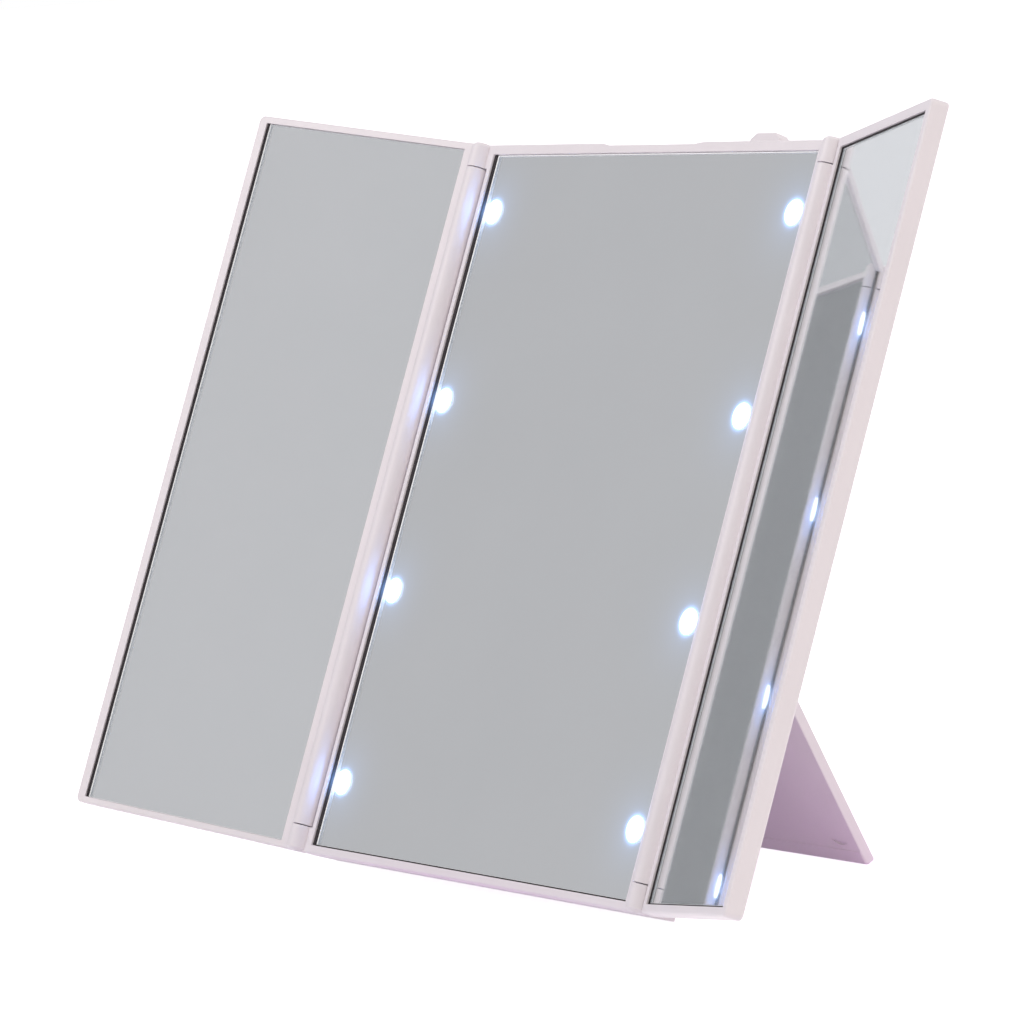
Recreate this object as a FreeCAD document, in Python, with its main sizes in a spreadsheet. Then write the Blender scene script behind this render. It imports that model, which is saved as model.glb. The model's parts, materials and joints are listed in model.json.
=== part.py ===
"""Trifold vanity mirror with lights: a centre panel on a kickstand and two hinged wings.

Every sub-part is modelled in the frame of the panel that carries it: X across the panel to
the right, Y up along it, Z out of its front. The zero point is the bottom middle of the centre
opening, on the front face of the bezel. The last section leans the panel back, opens the wings
and the stand, and puts the middle of the whole mirror's foot print at the origin, Z up.
"""
import FreeCAD, Part
import math
import os
import re

import Sketcher

Vector = FreeCAD.Vector
Rotation = FreeCAD.Rotation
Placement = FreeCAD.Placement

# Driving sizes in millimetres and degrees. Each one can be changed by itself.
SIZES = {
    # centre panel, front
    "opening_width": 136.0,
    "opening_height": 185.0,
    "top_rim": 2.65,
    "foot_rim": 2.1,
    "axis_inset": 5.6,
    "frame_depth": 5.0,
    "frame_floor": 2.2,
    "edge_round": 0.6,
    # hinges of the wings
    "axis_lift": 0.25,
    "barrel_radius": 2.75,
    "barrel_gap": 0.35,
    "side_gap": 0.33,
    "knuckle_height": 6.5,
    "knuckle_gap": 0.3,
    "knuckle_bevel": 0.7,
    "knuckle_slope": 45.0,
    "pin_radius": 0.75,
    "pin_length": 13.0,
    "pin_recess": 0.9,
    "press_gap": 0.01,
    "running_gap": 0.06,
    # glass and the foam tape behind it
    "mirror_recess": 0.7,
    "glass_thickness": 1.0,
    "glass_gap_left": 1.2,
    "glass_gap_right": 0.55,
    "glass_gap_top": 0.12,
    "glass_gap_foot": 0.4,
    "glass_ground": 0.25,
    "tape_thickness": 0.5,
    "tape_margin": 0.15,
    "seal_gap": 0.05,
    "seal_drop": 0.4,
    # wings
    "wing_bezel": 5.6,
    "wing_opening": 64.95,
    "wing_gap_left": 0.75,
    "wing_gap_right": 0.35,
    "left_wing_end_gap": 0.12,
    "right_wing_end_gap": 0.4,
    "wing_side_rim": 2.7,
    "wing_top_reach": 2.8,
    "wing_foot_reach": 2.1,
    "left_top_rim": 1.9,
    "left_foot_rim": 1.75,
    "right_top_rim": 2.8,
    "right_foot_rim": 2.1,
    "wing_thickness": 4.5,
    "wing_corner": 1.6,
    "left_wing_open": 21.67,
    "right_wing_open": 22.12,
    # lights
    "lamp_inset": 5.05,
    "lamp_first": 17.3,
    "lamp_last": 15.3,
    "window_radius": 3.2,
    "window_gap": 0.15,
    "window_sink": 0.05,
    "guide_width": 8.0,
    "guide_thickness": 1.0,
    "chip_width": 5.0,
    "chip_height": 1.6,
    "board_width": 7.0,
    "board_thickness": 1.0,
    "board_overhang": 9.5,
    "board_pad": 4.0,
    "resistor_length": 3.2,
    "resistor_width": 1.6,
    "resistor_height": 0.6,
    "fit_gap": 0.1,
    # back cover
    "cover_side": 6.8,
    "cover_draft": 4.0,
    "cover_edge": 1.1,
    "cover_edge_slope": 60.0,
    "cover_wall": 1.5,
    "rim_wall": 2.3,
    "block_width": 108.0,
    "block_gap": 1.7,
    "block_foot": 7.3,
    "block_head": 8.3,
    "block_round": 1.5,
    "block_edge_round": 0.9,
    # screws
    "screw_side": 45.0,
    "screw_low": 12.0,
    "screw_below_axis": 9.2,
    "screw_top_inset": 16.5,
    "screw_radius": 1.0,
    "screw_length": 5.6,
    "screw_head_radius": 2.1,
    "screw_head_height": 1.5,
    "cross_length": 2.4,
    "cross_width": 0.6,
    "cross_depth": 0.7,
    "post_radius": 2.6,
    "post_foot": 1.0,
    # battery bay
    "cell_radius": 5.25,
    "cell_length": 43.7,
    "nub_radius": 1.9,
    "nub_height": 0.8,
    "cell_pitch": 11.1,
    "cell_count": 4,
    "cell_gap": 0.2,
    "bay_wall": 1.6,
    "bay_floor": 0.8,
    "plate_thickness": 0.4,
    "plate_width": 8.0,
    "tab_width": 3.0,
    "tab_reach": 3.2,
    "spring_length": 5.2,
    "spring_wire": 0.25,
    "spring_turns": 4.0,
    "spring_foot": 3.1,
    "spring_tip": 1.9,
    # battery door
    "door_thickness": 1.4,
    "slide_gap": 0.3,
    "door_ledge": 2.6,
    "door_low_ledge": 2.6,
    "tongue_width": 1.0,
    "tongue_thickness": 0.5,
    "grip_count": 4,
    "grip_pitch": 3.0,
    "grip_length": 18.0,
    "grip_height": 0.4,
    # kickstand
    "stand_inset": 19.72,
    "stand_length": 87.98,
    "stand_thickness": 3.05,
    "stand_axis": 85.96,
    "stand_open": 48.5,
    "stand_foot_round": 1.2,
    "stand_gap": 0.35,
    "foot_band": 4.2,
    "face_sink": 0.15,
    "nick_radius": 4.5,
    "nick_height": 1.3,
    "nick_depth": 0.4,
    "nick_side": 6.6,
    "nick_up": 5.6,
    "ear_width": 4.5,
    "ear_half_height": 3.6,
    "ear_tip_half": 2.2,
    "stand_pin_radius": 0.8,
    "stand_pin_grip": 6.0,
    # finger scoop and power switch on the top edge
    "scoop_middle": 0.05,
    "scoop_length": 35.0,
    "scoop_end": 4.0,
    "scoop_drop": 0.75,
    "scoop_depth": 2.0,
    "knob_place": 38.85,
    "knob_top": 7.6,
    "knob_slope": 1.9,
    "knob_rise": 1.4,
    "knob_round": 0.3,
    "knob_height": 3.4,
    "knob_depth": 3.8,
    "knob_lift": 0.25,
    "stem_width": 4.0,
    "stem_depth": 1.8,
    "switch_travel": 3.0,
    "switch_width": 11.6,
    "switch_depth": 5.0,
    "switch_height": 5.0,
    "lever_width": 2.0,
    "lever_grip": 1.7,
    "lever_sink": 2.0,
    "prong_gap": 0.2,
    "terminal_width": 1.2,
    "terminal_pitch": 2.5,
    "terminal_length": 2.5,
    # wires inside
    "wire_radius": 0.6,
    "wire_pitch": 1.6,
}

doc = FreeCAD.newDocument("trifold_mirror")
sheet = doc.addObject("Spreadsheet::Sheet", "Sizes")
for row, (alias, value) in enumerate(SIZES.items(), start=1):
    sheet.set(f"A{row}", alias)
    sheet.set(f"B{row}", str(value))
    sheet.setAlias(f"B{row}", alias)
doc.recompute()

# Places that follow from the driving sizes, written as formulas on them.
DERIVED = {
    "axis_side": "(opening_width/2 + axis_inset)",
    "case_side": "(axis_side - side_gap)",
    "panel_low": "(-foot_rim)",
    "panel_high": "(opening_height + top_rim)",
    "glass_front": "(-mirror_recess)",
    "glass_back": "(glass_front - glass_thickness)",
    "tape_back": "(glass_back - tape_thickness)",
    "floor_back": "(tape_back - frame_floor)",
    "parting": "(-frame_depth)",
    "slope_start": "(parting - cover_side)",
    "cover_back": "(slope_start - cover_edge)",
    "cover_inside": "(cover_back + cover_wall)",
    "draft_in": "(cover_side*tan(cover_draft))",
    "cavity_side": "(case_side - rim_wall)",
    "cavity_low": "(panel_low + rim_wall)",
    "cavity_high": "(panel_high - rim_wall)",
    "groove_radius": "(barrel_radius + barrel_gap)",
    "lamp_side": "(opening_width/2 - lamp_inset)",
    "lamp_pitch": "((opening_height - lamp_first - lamp_last)/(lamp_count - 1))",
    "guide_back": "(floor_back - guide_thickness)",
    "chip_back": "(guide_back - fit_gap - chip_height)",
    "board_back": "(chip_back - board_thickness)",
    "board_low": "(lamp_first - board_overhang)",
    "board_high": "(lamp_first + (lamp_count - 1)*lamp_pitch + board_overhang)",
    "bay_front": "(tape_back - cell_gap)",
    "bay_floor_back": "(bay_front - bay_floor)",
    "cell_middle": "(bay_floor_back - cell_gap - cell_radius)",
    "cell_back": "(cell_middle - cell_radius)",
    "door_front": "(cell_back - cell_gap)",
    "ledge": "(door_front + slide_gap)",
    "block_back": "(door_front - door_thickness)",
    "bay_side": "((cell_length + nub_height + spring_length + 2*plate_thickness + 2*fit_gap)/2)",
    "block_low": "(stand_axis + ear_half_height + block_gap)",
    "bay_low": "(block_low + block_foot)",
    "bay_high": "(bay_low + cell_count*cell_pitch)",
    "block_high": "(bay_high + block_head)",
    "door_side": "(bay_side + door_ledge)",
    "door_low": "(bay_low - door_low_ledge)",
    "wire_plane": "(board_back - wire_radius - fit_gap/2)",
    "switch_middle": "(floor_back - switch_depth/2)",
    "knob_base": "(panel_high + knob_lift)",
    "stem_low": "(cavity_high - lever_grip - prong_gap)",
    "switch_top": "(stem_low - prong_gap)",
    "switch_low": "(switch_top - switch_height)",
    "stand_half_width": "(case_side - stand_inset)",
    "stand_axis_depth": "(cover_back - stand_gap - stand_thickness/2)",
    "ear_inner": "(stand_half_width + stand_gap)",
    "ear_outer": "(ear_inner + ear_width)",
    "screw_middle": "(stand_axis - screw_below_axis)",
    "screw_high": "(panel_high - screw_top_inset)",
    "post_end": "(cover_inside + post_foot)",
    "wing_width": "(wing_bezel + wing_opening + wing_side_rim)",
    "wing_low": "(-wing_foot_reach)",
    "wing_high": "(opening_height + wing_top_reach)",
    "barrel_low": "(panel_low + knuckle_height + knuckle_gap)",
    "barrel_high": "(panel_high - knuckle_height - knuckle_gap)",
    "cell_tip": "(bay_side - plate_thickness - fit_gap)",
    "heel": "((stand_gap + stand_thickness/2*(1 - cos(stand_open)) - slide_gap)/sin(stand_open))",
    "chamber_side": "(door_side + tongue_width + slide_gap + cover_wall)",
}
# The number of lamps on each side of the centre mirror.
LAMPS_PER_SIDE = 4


def spell_out(text):
    """Write a formula with every derived name replaced by the driving sizes behind it."""
    text = re.sub(r"\blamp_count\b", str(LAMPS_PER_SIDE), text)
    while True:
        spelled = re.sub(r"\w+", lambda word: DERIVED.get(word.group(), word.group()), text)
        if spelled == text:
            return text
        text = re.sub(r"\blamp_count\b", str(LAMPS_PER_SIDE), spelled)


def formula(text):
    """The FreeCAD expression for a formula: driving sizes point at their spreadsheet cells."""
    def cell(word):
        return f"Sizes.{word.group()}" if word.group() in SIZES else word.group()
    return re.sub(r"[A-Za-z_]\w*", cell, spell_out(str(text)))


# One spare object works formulas out as plain numbers for placements and swept shapes.
meter = doc.addObject("App::FeaturePython", "Meter")
meter.addProperty("App::PropertyFloat", "Reading")


def number(text):
    """The value of a formula, read from the spreadsheet through the document."""
    meter.setExpression("Reading", formula(text))
    meter.recompute()
    return meter.Reading


def role_plane(body, role):
    """One of a body's own origin planes, by its role."""
    return next(feature for feature in body.Origin.OriginFeatures if feature.Role == role)


def new_body(label):
    """An empty body whose label names the sub-part's file."""
    body = doc.addObject("PartDesign::Body", label)
    body.Label = label
    return body


def tie(sketch, constraint, text):
    """Add one dimension to a sketch and bind it to a formula."""
    index = sketch.addConstraint(constraint)
    sketch.setExpression(f"Constraints[{index}]", formula(text))


def polygon(*corners):
    """A drawing function for a closed outline through the given corners, as formulas."""
    def draw(sketch):
        first = sketch.GeometryCount
        count = len(corners)
        turn = [2*math.pi*corner/count for corner in range(count + 1)]
        ring = [Vector(math.cos(angle), math.sin(angle), 0) for angle in turn]
        for corner in range(count):
            sketch.addGeometry(Part.LineSegment(ring[corner], ring[corner + 1]), False)
        for corner in range(count):
            following = first + (corner + 1) % count
            sketch.addConstraint(Sketcher.Constraint("Coincident", first + corner, 2, following, 1))
        for corner, (across, along) in enumerate(corners):
            line = first + corner
            tie(sketch, Sketcher.Constraint("DistanceX", -1, 1, line, 1, 1.0), across)
            tie(sketch, Sketcher.Constraint("DistanceY", -1, 1, line, 1, 1.0), along)
    return draw


def rectangle(left, low, right, high):
    """A drawing function for an upright rectangle."""
    return polygon((left, low), (right, low), (right, high), (left, high))


def inset(outline, margin):
    """A drawing function for a rectangle that lies inside an outline by a margin."""
    left, low, right, high = outline
    return rectangle(f"{left} + {margin}", f"{low} + {margin}",
                     f"{right} - {margin}", f"{high} - {margin}")


def circle(across, along, radius):
    """A drawing function for a circle."""
    def draw(sketch):
        index = sketch.addGeometry(Part.Circle(Vector(0, 0, 0), Vector(0, 0, 1), 1.0), False)
        tie(sketch, Sketcher.Constraint("DistanceX", -1, 1, index, 3, 1.0), across)
        tie(sketch, Sketcher.Constraint("DistanceY", -1, 1, index, 3, 1.0), along)
        tie(sketch, Sketcher.Constraint("Radius", index, 1.0), radius)
    return draw


def bowl(across, low, radius, height):
    """A drawing function for the lower part of a circle, flat on top, from its lowest point."""
    def draw(sketch):
        size = number(radius)
        middle = Vector(number(across), number(low) + size, 0)
        reach = math.acos(1 - number(height)/size)
        turns = [1.5*math.pi - reach, 1.5*math.pi + reach]
        left, right = [middle + Vector(math.cos(turn), math.sin(turn), 0)*size for turn in turns]
        rim = Part.Circle(middle, Vector(0, 0, 1), size)
        arc = sketch.addGeometry(Part.ArcOfCircle(rim, *turns), False)
        top = sketch.addGeometry(Part.LineSegment(right, left), False)
        sketch.addConstraint(Sketcher.Constraint("Coincident", arc, 2, top, 1))
        sketch.addConstraint(Sketcher.Constraint("Coincident", top, 2, arc, 1))
        sketch.addConstraint(Sketcher.Constraint("Horizontal", top))
        tie(sketch, Sketcher.Constraint("DistanceX", -1, 1, arc, 3, middle.x), across)
        tie(sketch, Sketcher.Constraint("DistanceY", -1, 1, arc, 3, middle.y), f"{low} + {radius}")
        tie(sketch, Sketcher.Constraint("Radius", arc, size), radius)
        tie(sketch, Sketcher.Constraint("DistanceY", -1, 1, top, 1, left.y), f"{low} + {height}")
    return draw


# The share of the shorter run that each end of a bend in a wire takes up.
BEND_SHARE = 0.45

# Every pocket, so that the end of the script can tell whether each one removed something.
CUTS = []


def extrude(body, role, low, high, *drawings, cut=False, taper=None):
    """Pad or pocket drawings between two heights above one of the body's origin planes."""
    name = f"{body.Name}_{'cut' if cut else 'pad'}{len(body.Group)}"
    sketch = body.newObject("Sketcher::SketchObject", f"{name}_sketch")
    sketch.AttachmentSupport = (role_plane(body, role), [""])
    sketch.MapMode = "FlatFace"
    looks_down = role == "XZ_Plane"
    from_top = (cut or taper is not None) != looks_down
    start = high if from_top else low
    sketch.setExpression("AttachmentOffset.Base.z", formula(f"{'-' if looks_down else ''}({start})"))
    for draw in drawings:
        draw(sketch)
    feature = body.newObject("PartDesign::Pocket" if cut else "PartDesign::Pad", name)
    feature.Profile = sketch
    feature.setExpression("Length", formula(f"({high}) - ({low})"))
    if taper is not None:
        feature.Reversed = True
        feature.setExpression("TaperAngle", formula(taper))
    if cut:
        CUTS.append(feature)
    return feature


def edge_names(shape, wanted):
    """The names of a shape's edges whose end points all pass a test."""
    names = []
    for index, edge in enumerate(shape.Edges, start=1):
        if wanted([vertex.Point for vertex in edge.Vertexes]):
            names.append(f"Edge{index}")
    return names


def round_edges(body, radius, wanted):
    """Fillet the edges of the body's tip that pass a test on their end points."""
    doc.recompute()
    base = body.Tip
    names = edge_names(base.Shape, wanted)
    if not names:
        raise RuntimeError(f"{body.Label} has no edge to round")
    fillet = body.newObject("PartDesign::Fillet", f"{body.Name}_round{len(body.Group)}")
    fillet.Base = (base, names)
    fillet.setExpression("Radius", formula(radius))
    return fillet


def near(value, target):
    """True where two coordinates are the same within a hair."""
    return abs(value - target) < 0.02


def lamp_places(sides=(-1, 1)):
    """The middle of each lamp on the given sides, from the bottom up, as pairs of formulas."""
    heights = [f"(lamp_first + {index}*lamp_pitch)" for index in range(LAMPS_PER_SIDE)]
    return [(f"({side}*lamp_side)", height) for side in sides for height in heights]


# ---------------------------------------------------------------- centre panel, front frame


def cell_height(index):
    """The height of a battery cell's middle, counted from the lowest."""
    return f"(bay_low + ({index} + 0.5)*cell_pitch)"


def screw_places():
    """The middle of each case screw, as pairs of formulas."""
    heights = ("screw_low", "screw_middle", "screw_high")
    return [(f"({side}*screw_side)", height) for side in (-1, 1) for height in heights]


def make_centre_frame():
    """The bezel of the centre panel with its knuckles, lamp openings and screw posts."""
    body = new_body("centre_frame")
    extrude(body, "XY_Plane", "parting", "0",
            rectangle("-case_side", "panel_low", "case_side", "panel_high"))
    limit = {name: number(name) for name in ("case_side", "panel_low", "panel_high")}
    round_edges(body, "edge_round", lambda points: all(near(point.z, 0) for point in points)
                and (all(near(point.y, limit["panel_low"]) for point in points)
                     or all(near(point.y, limit["panel_high"]) for point in points)))
    extrude(body, "XY_Plane", "tape_back", "0", cut=True, *[
        rectangle("-opening_width/2", "0", "opening_width/2", "opening_height")])
    extrude(body, "XY_Plane", "parting", "floor_back", cut=True, *[
        rectangle("-cavity_side", "cavity_low", "cavity_side", "cavity_high")])
    window = "(window_radius + 2*window_gap)"
    extrude(body, "XY_Plane", "floor_back", "tape_back", cut=True, *[
        circle(across, along, window) for across, along in lamp_places()])
    # window in the floor that the tub of the battery bay fills
    tub_side = "(bay_side + bay_wall + cell_gap)"
    extrude(body, "XY_Plane", "floor_back", "tape_back", cut=True, *[
        rectangle(f"-{tub_side}", "bay_low - bay_wall - cell_gap",
                  tub_side, "bay_high + bay_wall + cell_gap")])
    for side in (-1, 1):
        cut_hinge_groove(body, side)
    tip = "(barrel_radius - knuckle_bevel*tan(knuckle_slope))"
    for low, high, radius, slope in (
            ("panel_low", "panel_low + knuckle_bevel", tip, "knuckle_slope"),
            ("panel_low + knuckle_bevel", "panel_low + knuckle_height", "barrel_radius", None),
            ("panel_high - knuckle_height", "panel_high - knuckle_bevel", "barrel_radius", None),
            ("panel_high - knuckle_bevel", "panel_high", "barrel_radius", "-knuckle_slope")):
        extrude(body, "XZ_Plane", low, high, taper=slope, *[
            circle(f"{side}*axis_side", "axis_lift", radius) for side in (-1, 1)])
    for low, high in (("panel_low", "panel_low + knuckle_height"),
                      ("panel_high - knuckle_height", "panel_high")):
        extrude(body, "XZ_Plane", low, high, cut=True, *[
            circle(f"{side}*axis_side", "axis_lift", "pin_radius + press_gap") for side in (-1, 1)])
    extrude(body, "XY_Plane", "post_end", "floor_back", *[
        circle(across, along, "post_radius") for across, along in screw_places()])
    extrude(body, "XY_Plane", "post_end", "floor_back", cut=True, *[
        circle(across, along, "screw_radius + press_gap") for across, along in screw_places()])
    cut_scoop(body)
    return body


def cut_hinge_groove(body, side):
    """Clear the long barrel of a wing out of the frame, with a sloped lip beside the mirror."""
    start = "panel_low + knuckle_height"
    stop = "panel_high - knuckle_height"
    axis = f"{side}*axis_side"
    reach = "axis_lift*4"
    flank = "(groove_radius/sqrt(2))"
    extrude(body, "XZ_Plane", start, stop, circle(axis, "axis_lift", "groove_radius"), cut=True)
    extrude(body, "XZ_Plane", start, stop, cut=True, *[polygon(
        (axis, "axis_lift"),
        (f"{axis} - {side}*{flank}", f"axis_lift - {flank}"),
        (f"{axis} - {side}*(2*{flank} + {reach})", f"axis_lift + {reach}"),
        (axis, f"axis_lift + {reach}"))])


def cut_scoop(body):
    """A shallow finger scoop with sloped ends in the front of the top edge."""
    left = "(scoop_middle - scoop_length/2)"
    right = "(scoop_middle + scoop_length/2)"
    above = "panel_high + top_rim"
    spread = "(scoop_end*(top_rim + scoop_drop)/scoop_drop)"
    extrude(body, "XY_Plane", "-scoop_depth", "top_rim", cut=True, *[polygon(
        (left, "panel_high - scoop_drop"),
        (right, "panel_high - scoop_drop"),
        (f"{right} + {spread}", above),
        (f"{left} - {spread}", above))])


# ---------------------------------------------------------------- centre panel, back cover


def make_back_cover():
    """The rear shell with the battery block, the ears of the stand and the screw seats."""
    body = new_body("centre_back_cover")
    extrude(body, "XY_Plane", "slope_start", "parting", taper="-cover_draft", *[
        rectangle("-case_side", "panel_low", "case_side", "panel_high")])
    extrude(body, "XY_Plane", "cover_back", "slope_start", taper="-cover_edge_slope", *[
        rectangle("-case_side + draft_in", "panel_low + draft_in",
                  "case_side - draft_in", "panel_high - draft_in")])
    extrude(body, "XY_Plane", "block_back", "slope_start", *[
        rectangle("-block_width/2", "block_low", "block_width/2", "block_high")])
    back, block = number("cover_back"), number("block_back")
    round_edges(body, "block_round", lambda points: near(points[0].x, points[-1].x)
                and near(points[0].y, points[-1].y)
                and all(point.z < back + 0.01 for point in points))
    round_edges(body, "block_edge_round", lambda points: all(near(point.z, block) for point in points))
    for side in (-1, 1):
        make_ear(body, side)
    tub = rectangle("-bay_side - bay_wall", "bay_low - bay_wall",
                    "bay_side + bay_wall", "bay_high + bay_wall")
    cavity = rectangle("-cavity_side + draft_in", "cavity_low + draft_in",
                       "cavity_side - draft_in", "cavity_high - draft_in")
    extrude(body, "XY_Plane", "cover_inside", "parting", cavity, tub, cut=True)
    extrude(body, "XY_Plane", "parting - bay_wall", "bay_front", tub)
    extrude(body, "XY_Plane", "block_back + cover_wall", "cover_inside", cut=True, *[
        rectangle(f"{side}*chamber_side", "block_low + cover_wall",
                  f"{side}*(block_width/2 - cover_wall)", "block_high - cover_wall")
        for side in (-1, 1)])
    cut_battery_bay(body)
    heights = ("(board_low + board_pad)", "((board_low + board_high)/2)", "(board_high - board_pad)")
    extrude(body, "XY_Plane", "cover_inside", "board_back", *[
        rectangle(f"{side}*lamp_side - board_pad/2", f"{height} - board_pad/2",
                  f"{side}*lamp_side + board_pad/2", f"{height} + board_pad/2")
        for side in (-1, 1) for height in heights])
    extrude(body, "XY_Plane", "cover_inside", "post_end", *[
        circle(across, along, "post_radius") for across, along in screw_places()])
    extrude(body, "XY_Plane", "cover_back", "cover_back + screw_head_height + fit_gap", cut=True, *[
        circle(across, along, "screw_head_radius + fit_gap") for across, along in screw_places()])
    extrude(body, "XY_Plane", "cover_back", "post_end", cut=True, *[
        circle(across, along, "screw_radius + fit_gap") for across, along in screw_places()])
    cut_switch_slot(body)
    return body


def make_ear(body, side):
    """One ear that carries a pin of the stand, with the pin's hole along the panel's width."""
    low, high = ("ear_inner", "ear_outer") if side > 0 else ("-ear_outer", "-ear_inner")
    extrude(body, "YZ_Plane", low, high, *[polygon(
        ("stand_axis - ear_half_height", "cover_back + cover_wall/2"),
        ("stand_axis + ear_half_height", "cover_back + cover_wall/2"),
        ("stand_axis + ear_tip_half", "stand_axis_depth - stand_thickness/2"),
        ("stand_axis - ear_tip_half", "stand_axis_depth - stand_thickness/2"))])
    extrude(body, "YZ_Plane", low, high, cut=True, *[
        circle("stand_axis", "stand_axis_depth", "stand_pin_radius + press_gap")])


def cut_battery_bay(body):
    """The bay for the cells, and the door's seat with a groove along each of its sides."""
    bay = rectangle("-bay_side", "bay_low", "bay_side", "bay_high")
    extrude(body, "XY_Plane", "block_back", "bay_floor_back", bay, cut=True)
    seat_end = "block_high + block_round"
    door = rectangle("-door_side - slide_gap", "door_low - slide_gap", "door_side + slide_gap", seat_end)
    extrude(body, "XY_Plane", "block_back", "ledge", door, cut=True)
    groove_side = "(door_side + tongue_width + slide_gap)"
    groove = rectangle(f"-{groove_side}", "door_low - slide_gap", groove_side, seat_end)
    extrude(body, "XY_Plane", "door_front - tongue_thickness - slide_gap", "ledge", groove, cut=True)
    extrude(body, "YZ_Plane", "bay_side", "bay_side + bay_wall", cut=True, *[
        rectangle(f"{height} - tab_width/2 - cell_gap", "wire_plane - plate_thickness",
                  f"{height} + tab_width/2 + cell_gap", "wire_plane + plate_thickness")
        for height in (cell_height(0), cell_height("(cell_count - 1)"))])


def cut_switch_slot(body):
    """The slot in the top wall that the stem of the power knob travels along."""
    left = "knob_place - stem_width/2 - switch_travel - slide_gap"
    right = "knob_place + stem_width/2 + slide_gap"
    extrude(body, "XZ_Plane", "cavity_high - draft_in", "panel_high", cut=True, *[rectangle(
        left, "switch_middle - stem_depth/2 - slide_gap",
        right, "switch_middle + stem_depth/2 + slide_gap")])


# ---------------------------------------------------------------- glass, tape and lights


def make_centre_glass():
    """The centre mirror, and the foam tape behind it with a hole for each lamp."""
    opening = ("-opening_width/2", "0", "opening_width/2", "opening_height")
    pane = ("(glass_gap_left - opening_width/2)", "glass_gap_foot",
            "(opening_width/2 - glass_gap_right)", "(opening_height - glass_gap_top)")
    make_pane("centre_mirror", pane)
    tape = make_tape("centre_mirror_tape", opening, pane)
    extrude(tape, "XY_Plane", "tape_back", "glass_back", cut=True, *[circle(
        across, along, "window_radius + window_gap") for across, along in lamp_places()])


def make_pane(label, pane):
    """A mirror glass with the given outline."""
    glass = new_body(label)
    extrude(glass, "XY_Plane", "glass_back", "glass_front", rectangle(*pane))
    grind_edges(glass)


def make_tape(label, opening, pane):
    """The black foam behind a pane, with a rim that stands up round the pane as its seal."""
    tape = new_body(label)
    extrude(tape, "XY_Plane", "tape_back", "(-seal_drop)", inset(opening, "tape_margin"))
    extrude(tape, "XY_Plane", "glass_back", "(-seal_drop)", inset(pane, "(-seal_gap)"), cut=True)
    return tape


def grind_edges(glass):
    """Chamfer the long straight edges on the front of a pane, where it is ground."""
    doc.recompute()
    base = glass.Tip
    front = number("glass_front")
    names = edge_names(base.Shape, lambda points: len(points) == 2
                       and all(near(point.z, front) for point in points)
                       and points[0].distanceToPoint(points[1]) > 20)
    chamfer = glass.newObject("PartDesign::Chamfer", f"{glass.Name}_ground")
    chamfer.Base = (base, names)
    chamfer.setExpression("Size", formula("glass_ground"))


def make_lights(word, side):
    """One side's light guide, its board with a resistor, and a lamp chip behind each window."""
    low, high = "board_low", "board_high"
    guide = new_body(f"light_guide_{word}")
    extrude(guide, "XY_Plane", "guide_back", "floor_back", *[rectangle(
        f"{side}*lamp_side - guide_width/2", low, f"{side}*lamp_side + guide_width/2", high)])
    extrude(guide, "XY_Plane", "guide_back", "glass_back - window_sink", *[
        circle(across, along, "window_radius") for across, along in lamp_places([side])])
    board = new_body(f"led_board_{word}")
    extrude(board, "XY_Plane", "board_back", "chip_back", *[rectangle(
        f"{side}*lamp_side - board_width/2", low, f"{side}*lamp_side + board_width/2", high)])
    for index, (across, along) in enumerate(lamp_places([side]), start=1):
        chip = new_body(f"led_chip_{word}_{index}")
        extrude(chip, "XY_Plane", "chip_back", "guide_back - fit_gap", *[rectangle(
            f"{across} - chip_width/2", f"{along} - chip_width/2",
            f"{across} + chip_width/2", f"{along} + chip_width/2")])
    resistor = new_body(f"led_resistor_{word}")
    middle = "(lamp_first + lamp_pitch/2)"
    extrude(resistor, "XY_Plane", "chip_back", "chip_back + resistor_height", *[rectangle(
        f"{side}*lamp_side - resistor_width/2", f"{middle} - resistor_length/2",
        f"{side}*lamp_side + resistor_width/2", f"{middle} + resistor_length/2")])


# ---------------------------------------------------------------- wings and their pins


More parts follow.
